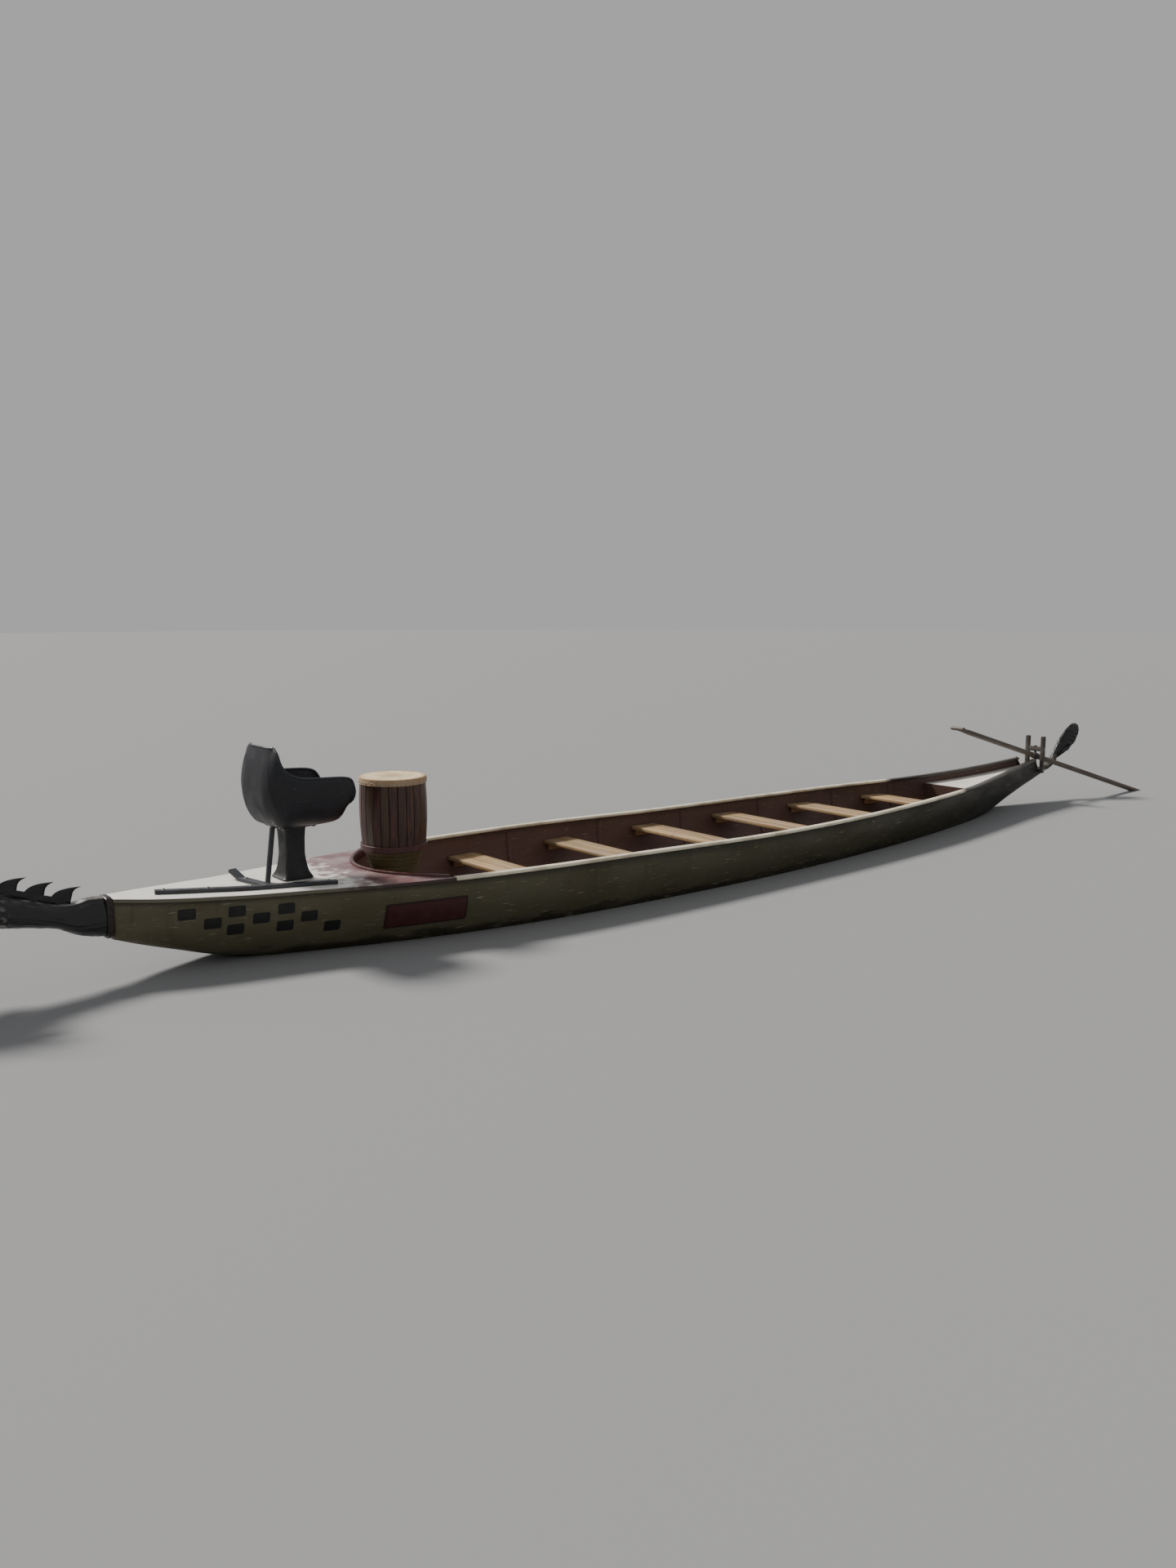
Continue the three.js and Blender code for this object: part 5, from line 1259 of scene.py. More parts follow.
share = np.linspace(0, 1, 170)
deep, thick = faired(LEAF[:, 0], LEAF[:, 1:], share).T
angle = np.arange(140) / 140 * 2 * np.pi
way = np.sin(angle)[None]
flow = way * 7.0 + 1.1 * np.sin(3.4 * share[:, None] + 0.5) * (1 - way**2)
locks = 1 - np.abs(np.sin(np.pi * flow)) ** 0.55 * 1.9
parting = np.clip(np.sin(2 * np.pi * (share[:, None] * 6.5 + 0.3 * np.sign(way))), 0, 1)
notches = 1 - 0.10 * parting ** 2 * np.abs(way) ** 6
cut = eased(share / 0.12)[:, None] * eased((1 - share) / 0.08)[:, None]
out = thick[:, None] * np.cos(angle)[None] * (1 + 0.16 * locks * cut)
plume = leaf_point(np.broadcast_to(share[:, None], out.shape), deep[:, None] * way * notches, out)
plume_parts = [loft(plume, relief=locks * cut * 0.8)]
for start, edge, length in ((0.30, 0.9, 0.30), (0.52, 0.93, 0.28), (0.72, 0.80, 0.24),
                            (0.38, -0.9, 0.28), (0.60, -0.9, 0.27), (0.76, -0.7, 0.22)):
    at = np.clip(start + np.linspace(0, 1, 4) * length, 0, 1)
    reach = np.interp(at, LEAF[:, 0], LEAF[:, 1]) * edge * np.array([0.80, 1.0, 1.06, 1.08])
    lock = leaf_point(at, reach, np.array([0.004, 0.006, 0.004, 0.0]))
    plume_parts.append(strand(lock, [0.010, 0.016, 0.011, 0.0015], count=30, around=14, flat=0.7, locks=4,
                              upward=(0, 1, 0)))
piece("tail_plume_locks", together(plume_parts), black_enamel, stands_for=("tail_plume",),
      crisp=60)

# %% [markdown]
# ## Oar frame
# Two oak posts stand close on either side of the shaft. The port one is bolted to the hull through a
# packing piece, and a short beam bolted between them carries the swivel. The oak has weathered grey,
# with its corners worn.

# %% Posts and crossbar
PIVOT = np.array([-3.965, 0.038, 0.408])
POST_DEPTH, POST_WIDTH, POST_TOP = 0.030, 0.035, 0.582


def upright(low, high, radius=0.004, levels=30, seed=0):
    """A post as rings up its height; its sides waver a little, as sawn oak does."""
    low, high = np.asarray(low, float), np.asarray(high, float)
    z = np.linspace(low[2], high[2], levels)
    z = np.concatenate([[low[2]], z[1:-1], [high[2] - 0.003, high[2]]])
    outline = rounded(*(high - low)[:2], radius)
    taper = np.ones(len(z))
    taper[[0, -1]] = 0.94
    waver = 0.0005 * np.sin(z[:, None] * 37 + seed + np.arange(len(outline)))
    flat = outline[None] * taper[:, None, None] * (1 + waver[..., None] * 8)
    centre = ((low + high) / 2)[:2]
    heights = np.broadcast_to(z[:, None, None], (*flat.shape[:2], 1))
    rings = np.concatenate([flat + centre, heights], axis=-1)
    return loft(rings, tone=shades.random())


oak, bolts = [], []
post_low = {0.092: 0.262, -0.052: stern_top(np.array(PIVOT[0] + POST_DEPTH / 2)) - 0.010}
for y, low in post_low.items():
    oak.append(upright((PIVOT[0] - POST_DEPTH / 2, y, float(low)),
                       (PIVOT[0] + POST_DEPTH / 2, y + POST_WIDTH, POST_TOP), seed=y * 9))
for y, side, heights in ((0.127, 1, (0.285, 0.345, 0.470)), (-0.052, -1, (0.470,))):
    for z in heights:
        spot = (PIVOT[0], y, z)
        bolts += [dome(spot, (0, side, 0), 0.008, 0.006),
                  turned([(0.012, -0.0002), (0.012, 0.0014), (0.0005, 0.0016)], spot, (0, side, 0), 20)]
CROSSBAR_Y, CROSSBAR_Z, CROSSBAR_HALF = (-0.0167, 0.0917), (0.450, 0.490), 0.014
oak.append(board((PIVOT[0] - CROSSBAR_HALF, CROSSBAR_Y[0], CROSSBAR_Z[0]),
                 (PIVOT[0] + CROSSBAR_HALF, CROSSBAR_Y[1], CROSSBAR_Z[1]), grain=1, radius=0.003))
hull_side = float(side_at(np.array(PIVOT[0] - POST_DEPTH / 2), 0.300))
oak.append(board((PIVOT[0] - POST_DEPTH / 2 + 0.001, hull_side - 0.006, 0.263),
                 (PIVOT[0] + POST_DEPTH / 2 - 0.001, 0.0925, 0.299), grain=1, radius=0.002, steps=4))
piece("oar_frame_oak", together(oak), frame_wood,
      stands_for=("oar_post_port", "oar_post_packing", "oar_post_starboard", "oar_crossbar"))
piece("frame_bolts", together(bolts), zinc_steel)

# %% [markdown]
# ## Swivel
# A steel ring hangs from a pin in the crossbar, and the shaft turns in it. The oar's own direction
# sets the ring's axis.

# %% Swivel
YAW, DIP = math.radians(12.5), math.radians(17.15)
ALONG = np.array([-math.cos(DIP) * math.cos(YAW), math.cos(DIP) * math.sin(YAW), -math.sin(DIP)])
RING_IN, RING_OUT, RING_HALF = 0.0228, 0.029, 0.017
bevel = 0.0012
ring_section = [(RING_IN, -RING_HALF + bevel), (RING_IN + bevel, -RING_HALF), (RING_OUT - bevel, -RING_HALF),
                (RING_OUT, -RING_HALF + bevel), (RING_OUT, RING_HALF - bevel), (RING_OUT - bevel, RING_HALF),
                (RING_IN + bevel, RING_HALF), (RING_IN, RING_HALF - bevel)]
spokes = circle(1.0, 48)
across_oar = unit(np.cross([0, 0, 1], ALONG))
up_oar = np.cross(ALONG, across_oar)
radial = spokes[:, :1] * across_oar + spokes[:, 1:] * up_oar
ring_points = (PIVOT + np.array(ring_section)[None, :, :1] * radial[:, None]
               + np.array(ring_section)[None, :, 1:] * ALONG)
pin = turned([(0.007, 0.0263), (0.007, 0.0825), (0.0145, 0.0826), (0.015, 0.084), (0.015, 0.0885),
              (0.0135, 0.0903), (0.002, 0.0905)], PIVOT, (0, 0, 1), 30)
eye = turned([(0.008, 0.0262), (0.0105, 0.029), (0.0105, 0.0365), (0.0085, 0.0392)], PIVOT, (0, 0, 1), 30)
piece("oar_swivel_ring", together([loft(ring_points, around_u=True), pin, eye]), bar_steel, body="swivel",
      stands_for=("oar_swivel",))

# %% [markdown]
# ## Steering oar
# The shaft is turned ash, thickened by two stops that keep it in the ring, with a T grip at its
# inboard end. The blade is flat, with a spine that fades out and a worn edge.

# %% Oar
def on_oar(along, across=0.0, up=0.0):
    """A point given by distances from the pivot along the shaft, across it and square to both."""
    on_shaft = PIVOT + np.multiply.outer(along, ALONG)
    return on_shaft + np.multiply.outer(across, across_oar) + np.multiply.outer(up, up_oar)


SHAFT_START, SHAFT_END = -0.960, 1.470
STOP = [(0.0210, 0.0220), (0.0220, 0.0266), (0.0235, 0.0270), (0.0345, 0.0270), (0.0360, 0.0266),
        (0.0375, 0.0220)]
SHAFT = [(SHAFT_START, 0.0165), (-0.900, 0.0180), (-0.823, 0.0220), (-0.400, 0.0220)]
SHAFT += [(-along, radius) for along, radius in STOP[::-1]] + STOP
SHAFT += [(0.700, 0.0220), (1.400, 0.0218), (SHAFT_END, 0.0216)]
shaft_at, shaft_radius = np.array(SHAFT).T
dense = np.unique(np.concatenate([shaft_at, np.linspace(SHAFT_START, SHAFT_END, 240)]))
shaft_radius = np.interp(dense, shaft_at, shaft_radius)
facets = 1 + 0.006 * np.cos(8 * np.arange(32) / 32 * 2 * np.pi)
loop = circle(1.0, 32) * facets[:, None]
shaft = PIVOT + dense[:, None, None] * ALONG + shaft_radius[:, None, None] * (
    loop[None, :, :1] * across_oar + loop[None, :, 1:] * up_oar)
GRIP_HALF = 0.075
grip_at = np.array([-GRIP_HALF, -0.0735, -0.067, -0.04, 0.0, 0.04, 0.067, 0.0735, GRIP_HALF])
grip_radius = np.array([0.009, 0.0135, 0.0168, 0.0160, 0.0172, 0.0160, 0.0168, 0.0135, 0.009])
grip_fine = np.linspace(-GRIP_HALF, GRIP_HALF, 60)
grip_size = np.interp(grip_fine, grip_at, grip_radius)
loop = circle(1.0, 28)
grip = (on_oar(SHAFT_START) + grip_fine[:, None, None] * across_oar
        + grip_size[:, None, None] * (loop[None, :, :1] * ALONG + loop[None, :, 1:] * up_oar))
piece("oar_shaft_ash", together([loft(shaft, tone=0.35), loft(grip, tone=0.2)]), oar_wood, body="oar",
      stands_for=("oar_shaft",))

BLADE = [(1.4703, 0.0220, 0.0210), (1.540, 0.042, 0.017), (1.630, 0.070, 0.012), (1.780, 0.093, 0.009),
         (1.960, 0.100, 0.007), (2.055, 0.097, 0.005), (2.078, 0.088, 0.0042), (2.085, 0.070, 0.003)]
blade_rows = through(BLADE, 110)
turn_round = np.arange(72) / 72 * 2 * np.pi
wide = np.sin(turn_round)
spine = np.exp(-(wide[None] / 0.17) ** 2) * eased((1.95 - blade_rows[:, :1]) / 0.35) * 0.0045
chips = np.clip(np.sin(blade_rows[:, :1] * 83) + np.sin(blade_rows[:, :1] * 191 + 1), 0, 2)
nicks = 1 - 0.006 * chips * (np.abs(wide)[None] > 0.93)
thin = blade_rows[:, 2:] * np.sign(np.cos(turn_round)) * np.abs(np.cos(turn_round)) ** 0.75
thin = thin + np.sign(np.cos(turn_round)) * spine * (np.abs(np.cos(turn_round)) > 0.3)
blade = (PIVOT + blade_rows[:, :1, None] * ALONG + (blade_rows[:, 1:2] * wide * nicks)[..., None] * up_oar
         + thin[..., None] * across_oar)
piece("oar_blade_ash", loft(blade, tone=0.5), oar_wood, body="oar", stands_for=("oar_blade",))

# %% [markdown]
# ## Drum
# The drum is a barrel: 24 staves, each with its long edges planed off, so a V groove shows between
# two of them. A hide is drawn over the top and held by a row of tacks, and the barrel narrows at its
# foot into a turned stand.

# %% Stave finish
def stave_varnish():
    material, tree, shader = finish("varnished_stave", roughness=0.42, ior=1.5, coat=0.08)
    where = node(tree, "ShaderNodeTexCoord", out="Object")
    tone = node(tree, "ShaderNodeAttribute", out="Fac", attribute_name="tone")
    relief = node(tree, "ShaderNodeAttribute", out="Fac", attribute_name="relief")
    shift = node(tree, "ShaderNodeMath", {0: tone, 1: 11.0}, out=0, operation="MULTIPLY")
    grain_at = node(tree, "ShaderNodeVectorMath", {0: where, 1: shift}, out=0, operation="ADD")
    grain = patches(tree, grain_at, (0.006, 0.006, 0.28), 0.34, 0.66, detail=6)
    base = node(tree, "ShaderNodeMix", {0: grain, 6: linear("#2c1610"), 7: linear("#52301f")},
                out=2, data_type="RGBA")
    olive = node(tree, "ShaderNodeMapRange",
                 {"Value": tone, "From Min": 0.6, "From Max": 0.95, "To Max": 0.55}, out=0)
    base = node(tree, "ShaderNodeMix", {0: olive, 6: base, 7: linear("#453a24")}, out=2, data_type="RGBA")
    runs = patches(tree, where, (0.03, 0.03, 0.35), 0.5, 0.72, detail=5, offset=7.0)
    runs = node(tree, "ShaderNodeMath", {0: runs, 1: 0.5}, out=0, operation="MULTIPLY")
    base = node(tree, "ShaderNodeMix", {0: runs, 6: base, 7: linear("#1d110d")}, out=2, data_type="RGBA")
    groove = node(tree, "ShaderNodeMapRange",
                  {"Value": relief, "From Min": -0.1, "From Max": -0.9, "To Max": 0.85}, out=0)
    base = node(tree, "ShaderNodeMix", {0: groove, 6: base, 7: linear("#170c0a")}, out=2, data_type="RGBA")
    rough = node(tree, "ShaderNodeMapRange", {"Value": grain, "To Min": 0.5, "To Max": 0.32}, out=0)
    finished(tree, shader, base, rough, grain, 0.0003)
    return material


stave_wood = stave_varnish()

# %% Staves
DRUM_BOTTOM, DRUM_TOP, STAVES = 0.430, 0.830, 24
STAVE_TOP, GROOVE_DEPTH = DRUM_TOP - 0.0063, 0.0038
DRUM_PROFILE = np.array([(DRUM_BOTTOM, 0.176), (0.464, 0.176), (0.530, 0.1805), (0.600, 0.184),
                         (0.700, 0.184), (0.770, 0.1808), (STAVE_TOP, 0.178)])


def stave(k, levels=46, inner=0.1655):
    """One stave as rings up its height: across it the outer face follows the barrel, and the last
    3 mm on either side slope in by nearly 4 mm, which makes half of each V groove."""
    z = np.linspace(DRUM_BOTTOM, STAVE_TOP, levels)
    radius = faired(DRUM_PROFILE[:, 0], DRUM_PROFILE[:, 1], z)
    half = np.pi / STAVES
    share = np.array([-0.995, -0.93, -0.86, -0.5, 0.0, 0.5, 0.86, 0.93, 0.995])
    dip = np.array([GROOVE_DEPTH, 0.0015, 0, 0, 0, 0, 0, 0.0015, GROOVE_DEPTH])
    angle = 2 * half * k + half * share
    outer_r = radius[:, None] - dip
    inner_r = np.full_like(outer_r, inner)
    grids = []
    for r in (outer_r, inner_r):
        height = np.broadcast_to(z[:, None], r.shape)
        grids.append(np.stack([DRUM_X + r * np.cos(angle), r * np.sin(angle), height], -1))
    relief = np.concatenate([-dip / GROOVE_DEPTH, np.zeros(len(share))])
    return slab(*grids, tone=shades.random(), relief=np.tile(relief, (levels, 1)))


piece("drum_staves_barrel", together([stave(k) for k in range(STAVES)]), stave_wood,
      stands_for=("drum_shell",), crisp=25)

# %% [markdown]
# The hide is pale, browned at the edge and worn darker and smoother in the middle, where it is
# struck. Its skirt is pulled down over the staves and pleats slightly.

# %% Hide
def hide():
    material, tree, shader = finish("drum_hide", roughness=0.55, ior=1.5)
    where = node(tree, "ShaderNodeTexCoord", out="Object")
    centre = node(tree, "ShaderNodeVectorMath", {0: where, 1: (DRUM_X, 0.0, 0.0)},
                  out=0, operation="SUBTRACT")
    flat = node(tree, "ShaderNodeVectorMath", {0: centre, 1: (1.0, 1.0, 0.0)}, out=0, operation="MULTIPLY")
    away = node(tree, "ShaderNodeVectorMath", {0: flat}, out=1, operation="LENGTH")
    cloud = patches(tree, where, 0.05, 0.34, 0.68, detail=8)
    base = node(tree, "ShaderNodeMix", {0: cloud, 6: linear("#cdb48a"), 7: linear("#e2d0ab")},
                out=2, data_type="RGBA")
    worn = node(tree, "ShaderNodeMapRange",
                {"Value": away, "From Min": 0.11, "From Max": 0.03, "To Max": 0.6},
                out=0, interpolation_type="SMOOTHSTEP")
    base = node(tree, "ShaderNodeMix", {0: worn, 6: base, 7: linear("#a98f6b")}, out=2, data_type="RGBA")
    rim = node(tree, "ShaderNodeMapRange",
               {"Value": away, "From Min": 0.155, "From Max": 0.185, "To Max": 0.7}, out=0)
    base = node(tree, "ShaderNodeMix", {0: rim, 6: base, 7: linear("#8a6444")}, out=2, data_type="RGBA")
    fibres = patches(tree, where, (0.012, 0.0016, 0.0016), 0.35, 0.65, detail=4)
    rough = node(tree, "ShaderNodeMapRange", {"Value": worn, "To Min": 0.62, "To Max": 0.4}, out=0)
    finished(tree, shader, base, rough, fibres, 0.0004)
    return material


skin_profile = [(0.0010, -0.0058), (0.1785, -0.0070), (0.1815, -0.0073), (0.1822, -0.0055),
                (0.1820, -0.0030), (0.1800, -0.0008), (0.1760, 0.0002), (0.1600, -0.0003),
                (0.1000, -0.0010), (0.0400, -0.0012), (0.0010, -0.0012)]
drum_hide = hide()
skin = turned(skin_profile, (DRUM_X, 0, DRUM_TOP), count=96)
angle = np.arange(72) / 72 * 2 * np.pi
pleat = 1 + 0.006 * np.cos(angle * 24)
SKIRT = [(0.1815, -0.004), (0.1842, -0.011), (0.1832, -0.034), (0.1842, -0.0355), (0.1820, -0.0365),
         (0.1790, -0.0355), (0.1795, -0.006)]
skirt = []
for r, z in SKIRT:
    height = np.full(len(angle), DRUM_TOP + z)
    skirt.append(np.stack([DRUM_X + r * pleat * np.cos(angle), r * pleat * np.sin(angle), height], -1))
piece("drum_hide_skin", together([skin, loft(np.stack(skirt))]), drum_hide, stands_for=("drum_head",))
TACKS, TACK_AWAY, TACK_HEIGHT = 48, 0.1842, DRUM_TOP - 0.024
tacks = []
for turned_by in np.arange(TACKS) / TACKS * 2 * np.pi:
    outward = (math.cos(turned_by), math.sin(turned_by), 0)
    spot = (DRUM_X + TACK_AWAY * outward[0], TACK_AWAY * outward[1], TACK_HEIGHT)
    tacks.append(dome(spot, outward, 0.0052, 0.003, count=10, rings=3))
piece("drum_tacks", together(tacks), zinc_steel)

# %% Hoop and stand
hoop_profile = [(0.1765, 0.4305), (0.1825, 0.4305), (0.1845, 0.4330), (0.1845, 0.4605), (0.1825, 0.4628),
                (0.1765, 0.4628)]
hoop = turned(hoop_profile, (DRUM_X, 0, 0), count=96)
piece("drum_hoop_band", hoop, oxblood_enamel, stands_for=("drum_hoop",), crisp=25)
stand_wood = timber("olive_stained_pine", "#6d6140", "#40371f", ring=0.005, roughness=0.55, grey="#6f6a55",
                    greying=0.35)
stand_profile = [(0.096, 0.1905), (0.1115, 0.1905), (0.1145, 0.1945), (0.1140, 0.2040), (0.1160, 0.2300),
                 (0.1240, 0.2900), (0.1380, 0.3500), (0.1550, 0.4000), (0.1665, 0.4180), (0.1675, 0.4290),
                 (0.1420, 0.4295), (0.1100, 0.3400)]
stand = turned(stand_profile, (DRUM_X, 0, 0), count=96)
stand["uv"] = stand["uv"][..., ::-1]
piece("drum_stand_turned", stand, stand_wood, stands_for=("drum_stand",), crisp=25)

# %% [markdown]
# ## Seat
# A bucket seat of the kind made for speedboats stands on the foredeck and faces aft. It is moulded
# in dark blue-black plastic. Its rows run from the front edge of the pan down, back and up the
# backrest, and the sides curl up to armrests. The rim is rolled over, and the plastic has scuffed
# to a satin.

# %% Moulded plastic
def moulded_plastic():
    material, tree, shader = finish("moulded_polyethylene", roughness=0.38, ior=1.51)
    where = node(tree, "ShaderNodeTexCoord", out="Object")
    relief = node(tree, "ShaderNodeAttribute", out="Fac", attribute_name="relief")
    bleach = patches(tree, where, 0.11, 0.35, 0.72, detail=8)
    bleach = node(tree, "ShaderNodeMath", {0: bleach, 1: 0.4}, out=0, operation="MULTIPLY")
    base = node(tree, "ShaderNodeMix", {0: bleach, 6: linear("#0b0c14"), 7: linear("#1b1e2b")},
                out=2, data_type="RGBA")
    edge = node(tree, "ShaderNodeMapRange",
                {"Value": relief, "From Min": 0.4, "From Max": 1.0, "To Max": 0.55}, out=0)
    base = node(tree, "ShaderNodeMix", {0: edge, 6: base, 7: linear("#2c2f3d")}, out=2, data_type="RGBA")
    scuffs = patches(tree, where, (0.06, 0.004, 0.03), 0.62, 0.7, detail=3, offset=1.7)
    scuffs = node(tree, "ShaderNodeMath", {0: scuffs, 1: 0.18}, out=0, operation="MULTIPLY")
    base = node(tree, "ShaderNodeMix", {0: scuffs, 6: base, 7: linear("#565a69")}, out=2, data_type="RGBA")
    grain = patches(tree, where, 0.0022, 0.35, 0.65, detail=1)
    rough = node(tree, "ShaderNodeMapRange", {"Value": bleach, "To Min": 0.3, "To Max": 0.95}, out=0)
    finished(tree, shader, base, rough, grain, 0.00025)
    return material


seat_plastic = moulded_plastic()

# %% [markdown]
# Each row of the table gives the centre of the seat's outer face, half its width, and the place of
# its rim. Across a row the side is level in the middle and then climbs to the rim: the share of the
# climb is the 1.6th power of the way from 35% out to the edge.

# %% Bucket
SEAT_ROWS = [
    (2.836, 0.724, 0.188, 2.832, 0.806),
    (2.866, 0.694, 0.206, 2.858, 0.858),
    (2.900, 0.650, 0.216, 2.896, 0.876),
    (2.990, 0.636, 0.219, 2.982, 0.884),
    (3.100, 0.636, 0.219, 3.074, 0.888),
    (3.220, 0.636, 0.218, 3.150, 0.896),
    (3.262, 0.664, 0.214, 3.198, 0.914),
    (3.298, 0.728, 0.207, 3.230, 0.940),
    (3.314, 0.820, 0.196, 3.250, 0.980),
    (3.302, 0.940, 0.172, 3.254, 1.022),
    (3.268, 1.048, 0.134, 3.254, 1.052),
]
SEAT_WALL = 0.008
rows = through(SEAT_ROWS, 84)
across = np.linspace(-1, 1, 57)
climb = (np.clip(np.abs(across) - 0.35, 0, None) / 0.65) ** 1.6
seat_y = rows[:, 2:3] * np.sin(across * np.pi / 2)
centre = rows[:, None, :2]
rim = rows[:, None, 3:5]
profile = centre + climb[None, :, None] * (rim - centre)
outer = np.stack([profile[..., 0], seat_y, profile[..., 1]], -1)
by_row, by_column = np.gradient(outer, axis=0), np.gradient(outer, axis=1)
inward = unit(np.cross(by_row, by_column))
if inward[len(rows) // 3, 28, 2] < 0:
    inward = -inward
share = np.linspace(0, 1, len(rows))[:, None]
ribs = np.zeros_like(seat_y)
for middle in (-0.42, -0.21, 0.0, 0.21, 0.42):
    ribs += np.exp(-((across[None] - middle) / 0.035) ** 2)
ribs = ribs * eased((share - 0.16) / 0.05) * eased((0.92 - share) / 0.05)
inner = outer + inward * (SEAT_WALL - 0.0025 * ribs[..., None])
stiffener = np.exp(-((across[None] - 0.62) / 0.03) ** 2) + np.exp(-((across[None] + 0.62) / 0.03) ** 2)
stiffener = stiffener * eased((share - 0.55) / 0.06) * eased((0.97 - share) / 0.06)
outer = outer - inward * 0.002 * stiffener[..., None]
wear = np.clip((np.abs(across) - 0.93) / 0.07, 0, 1)[None] + np.clip((share - 0.97) / 0.03, 0, 1)
wear = np.clip(wear + np.clip((0.03 - share) / 0.03, 0, 1), 0, 1)
shell = slab(inner, outer, relief=np.concatenate([wear, wear[:, ::-1]], axis=1))

edge = np.concatenate([inner[0, 1:-1], inner[1:-1, -1], inner[-1, 1:-1][::-1], inner[1:-1, 0][::-1]])
edge_out = np.concatenate([outer[0, 1:-1], outer[1:-1, -1], outer[-1, 1:-1][::-1], outer[1:-1, 0][::-1]])
bead = (edge + edge_out) / 2
tangent = unit(np.roll(bead, -1, axis=0) - np.roll(bead, 1, axis=0))
through_wall = edge_out - edge
through_wall = unit(through_wall - (through_wall * tangent).sum(axis=1, keepdims=True) * tangent)
out_of_edge = np.cross(tangent, through_wall)
ring = circle(0.0078, 14)
roll = bead[:, None] + ring[None, :, :1] * through_wall[:, None] + ring[None, :, 1:] * out_of_edge[:, None]
piece("seat_bucket", together([shell, loft(roll, around_u=True, relief=0.7)]), seat_plastic,
      stands_for=("seat_shell",), crisp=50)

# %% [markdown]
# Four bolts hold the bucket to the flange of its column. The column is a moulded square box with
# round corners that flares at its foot, and its edges have worn paler. Two flat bars lie across each
# other on the deck in front of it, and a thin strut props the bucket's back.

# %% Column, strut and bars
SEAT_X, PAN_UNDERSIDE = 3.110, 0.636
foot = float(lines_at(np.array(SEAT_X + 0.084))[1]) + 0.0003
COLUMN = [
    (foot, 0.0825), (foot + 0.002, 0.0838), (foot + 0.009, 0.0838), (foot + 0.012, 0.0800),
    (foot + 0.035, 0.0680), (foot + 0.060, 0.0615), (foot + 0.090, 0.0570), (foot + 0.120, 0.0535),
    (foot + 0.150, 0.0522), (0.460, 0.0522), (0.565, 0.0540), (0.610, 0.0575), (0.622, 0.0600),
    (0.6268, 0.0700), (0.6282, 0.1030), (0.6294, 0.1046), (0.6344, 0.1046), (0.6356, 0.1035),
]


def square_column(table, corner=0.22, per_corner=6):
    """Each row's height and half width become a square ring whose corners are rounded by a share
    of the half width; relief marks the corners."""
    outline = rounded(2, 2, corner, per_corner)
    table = np.asarray(table)
    rings = np.empty((len(table), len(outline), 3))
    rings[..., :2] = outline[None] * table[:, 1, None, None] + [SEAT_X, 0]
    rings[..., 2] = table[:, :1]
    worn = 0.8 * (np.abs(outline).min(axis=1) > 0.80)
    return loft(rings, relief=np.tile(worn, (len(table), 1)))


def hex_head(spot, axis, radius=0.0075, height=0.0055):
    """A bolt head with six flats, a chamfer on top and a round washer under it."""
    hexagon = [(radius, 0.001), (radius, height), (radius * 0.86, height * 1.25), (0.0004, height * 1.28)]
    washer = [(radius * 1.5, -0.0003), (radius * 1.5, 0.0012), (radius * 0.5, 0.0014)]
    return [turned(hexagon, spot, axis, 6), turned(washer, spot, axis, 20)]


column_black = carved_enamel("black_column_plastic", "#0d0e10", "#34363b", "#090a0b", roughness=0.42,
                             wear=0.6, coat=0, cloud=0.06)
piece("seat_column_moulding", square_column(COLUMN), column_black, stands_for=("seat_column",),
      crisp=30)
seat_bolts = []
for sx, sy in ((1, 1), (-1, 1), (-1, -1), (1, -1)):
    seat_bolts += hex_head((SEAT_X + sx * 0.086, sy * 0.086, 0.6282), (0, 0, -1))

strut_foot = float(lines_at(np.array(3.280))[1]) + 0.0003
strut_path = through([(3.268, 0.040, strut_foot), (3.230, 0.040, PAN_UNDERSIDE - 0.0003)], 24)
piece("seat_strut_bar", swept(strut_path, rounded(0.023, 0.023, 0.004), upward=(0, 1, 0)), bar_steel,
      stands_for=("seat_strut",))


BAR_WIDTH, BAR_THICKNESS = 0.044, 0.018


def deck_bar(start, end, lift, steps=60):
    """A flat bar on the deck, its last quarter bent up by lift."""
    t = np.linspace(0, 1, steps)
    flat = np.array(start) + t[:, None] * (np.array(end) - start)
    middle = lines_at(flat[:, 0])[1] + 0.010 + lift * np.clip(t - 0.75, 0, None) * 4
    return swept(np.column_stack([flat, middle]), rounded(BAR_WIDTH, BAR_THICKNESS, 0.003))


long_bar = deck_bar((2.990, 0.260), (3.840, 0.020), 0.0)
cross_bar = deck_bar((3.312, 0.169), (3.375, -0.150), 0.034)
piece("seat_bars_flat", together([long_bar, cross_bar]), bar_steel, stands_for=("seat_bars",))
for x, y in ((3.03, 0.2487), (3.40, 0.1442), (3.60, 0.0878), (3.80, 0.0313), (3.3515, -0.031)):
    seat_bolts += hex_head((x, y, float(lines_at(np.array(x))[1]) + 0.019), (0, 0, 1))
piece("seat_bolts", together(seat_bolts), zinc_steel, crisp=30)

# %% [markdown]
# ## Floor and light
# The floor lies at the height of the waterline, so the hull's bottom is below it. It is open inside
# the hull's outline at that height, so it doesn't cover the floor boards. A soft lamp is high beyond
# the boat, so decks and rails are bright and the near side lies in soft shade. The floor gives back
# nearly as much light as the backdrop, so hardly a line shows where the two meet.

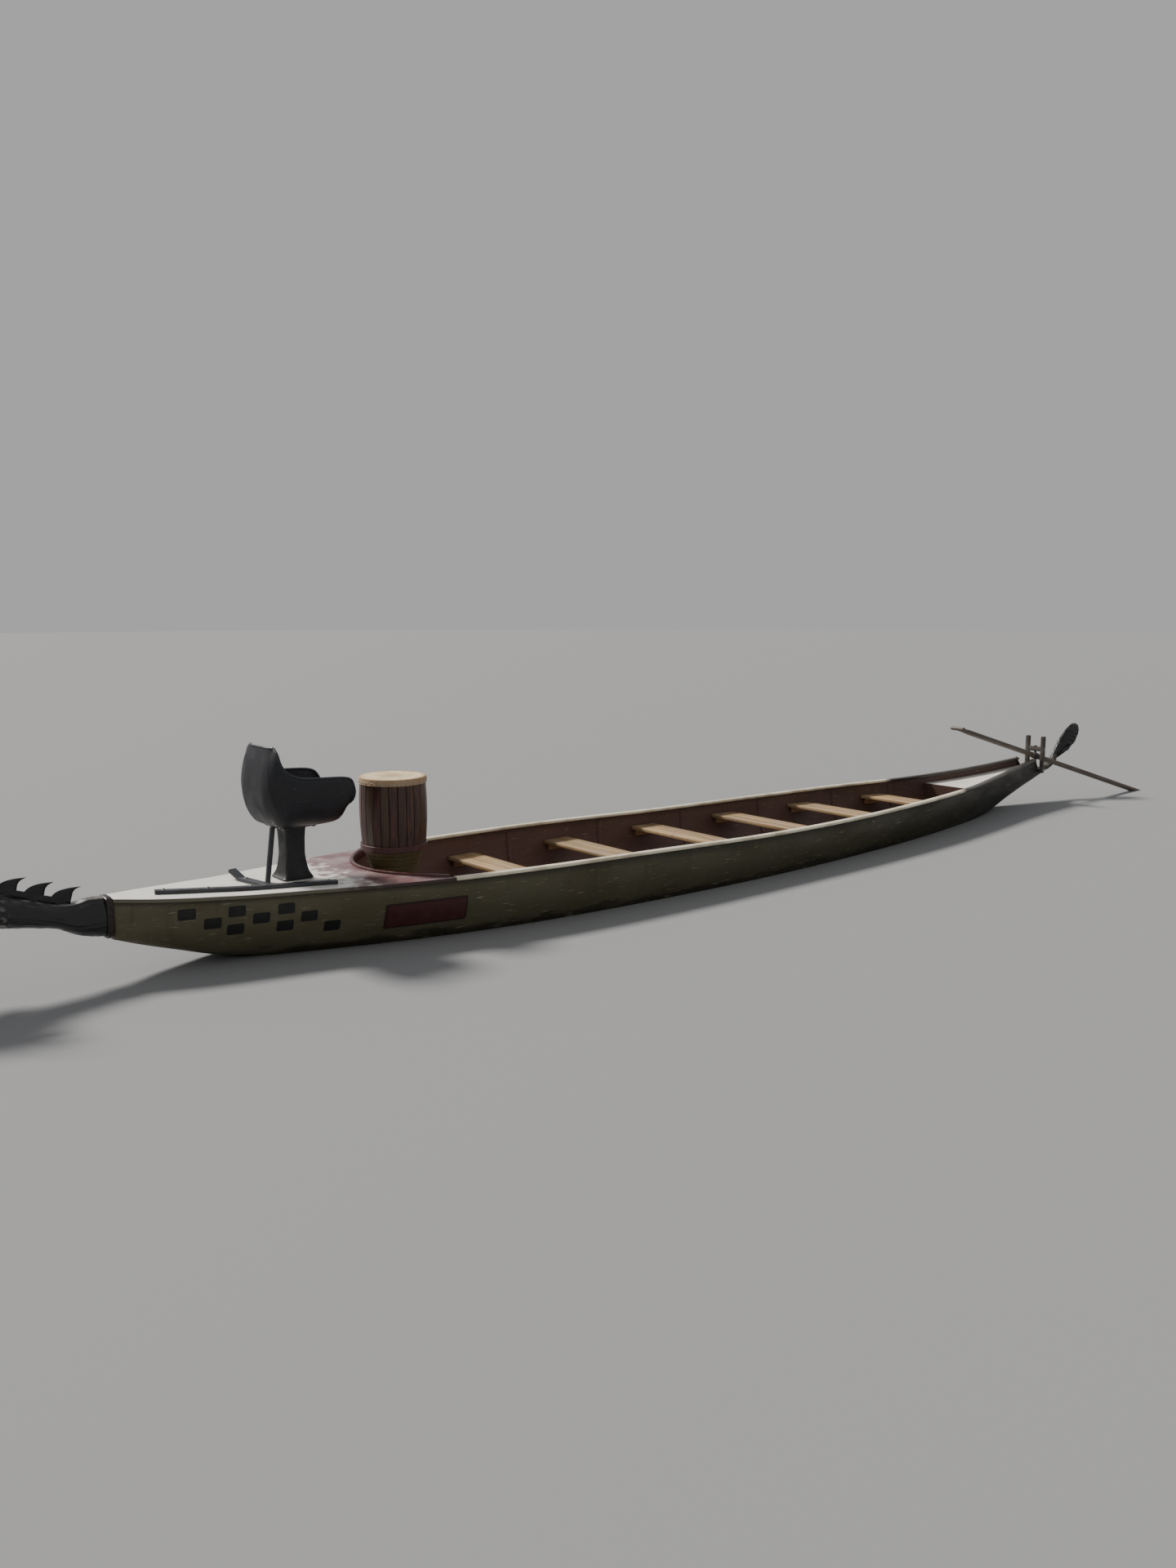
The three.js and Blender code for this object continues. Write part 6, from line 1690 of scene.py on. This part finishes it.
# %% Stage
def stage_paint(name, chart, roughness):
    material, tree, shader = finish(name, roughness=roughness)
    shader.inputs["Base Color"].default_value = linear(chart)
    return material


REACH, WATERLINE_ENDS = 60.0, (-3.20, 3.40)
BACKDROP_STRENGTH, LAMP_STRENGTH, LAMP_WIDTH = 0.45, 5.0, math.radians(12)


def open_floor(count=240):
    """Two loops joined by quads: the middle of the hull's wall at height 0, with x = middle + half
    length cos t and y = half breadth with the sign of sin t, and the same directions 60 m out."""
    t = (np.arange(count) + 0.5) / count * 2 * np.pi
    x = np.mean(WATERLINE_ENDS) + np.diff(WATERLINE_ENDS) / 2 * np.cos(t)
    near = np.column_stack([x, side_at(x, 0.0, WALL / 2) * np.sign(np.sin(t)), np.zeros(count)])
    far = unit(near) * REACH
    index = np.arange(count)
    following = np.roll(index, -1)
    quads = np.stack([index, index + count, following + count, following], -1)
    return np.concatenate([near, far]), quads


floor_mesh = bpy.data.meshes.new("floor")
floor_points, floor_quads = open_floor()
floor_mesh.from_pydata(floor_points.tolist(), [], floor_quads.tolist())
floor = bpy.data.objects.new("floor", floor_mesh)
bpy.context.scene.collection.objects.link(floor)
floor_mesh.materials.append(stage_paint("pale_floor", "#8a8b8d", 0.95))

world = bpy.data.worlds.new("pale_backdrop")
world.use_nodes = True
backdrop = world.node_tree.nodes["Background"]
backdrop.inputs["Color"].default_value = linear("#fafafa")
backdrop.inputs["Strength"].default_value = BACKDROP_STRENGTH
bpy.context.scene.world = world


def sun(name, toward, power, spread, tint):
    """A sun lamp shines along its own -Z, so its Z is turned to the direction the light comes from."""
    made = bpy.data.objects.new(name, bpy.data.lights.new(name, "SUN"))
    made.data.energy, made.data.angle = power, spread
    made.data.color = linear(tint)[:3]
    bpy.context.scene.collection.objects.link(made)
    away = unit(np.array(toward, float))
    side = unit(np.cross([0, 0, 1], away))
    turn = np.eye(4)
    turn[:3, 0], turn[:3, 1], turn[:3, 2] = side, np.cross(away, side), away
    made.matrix_world = Matrix(turn.tolist())
    return made


sun("soft_lamp", (3.0, -9.0, 10.0), LAMP_STRENGTH, LAMP_WIDTH, "#fffaf3")
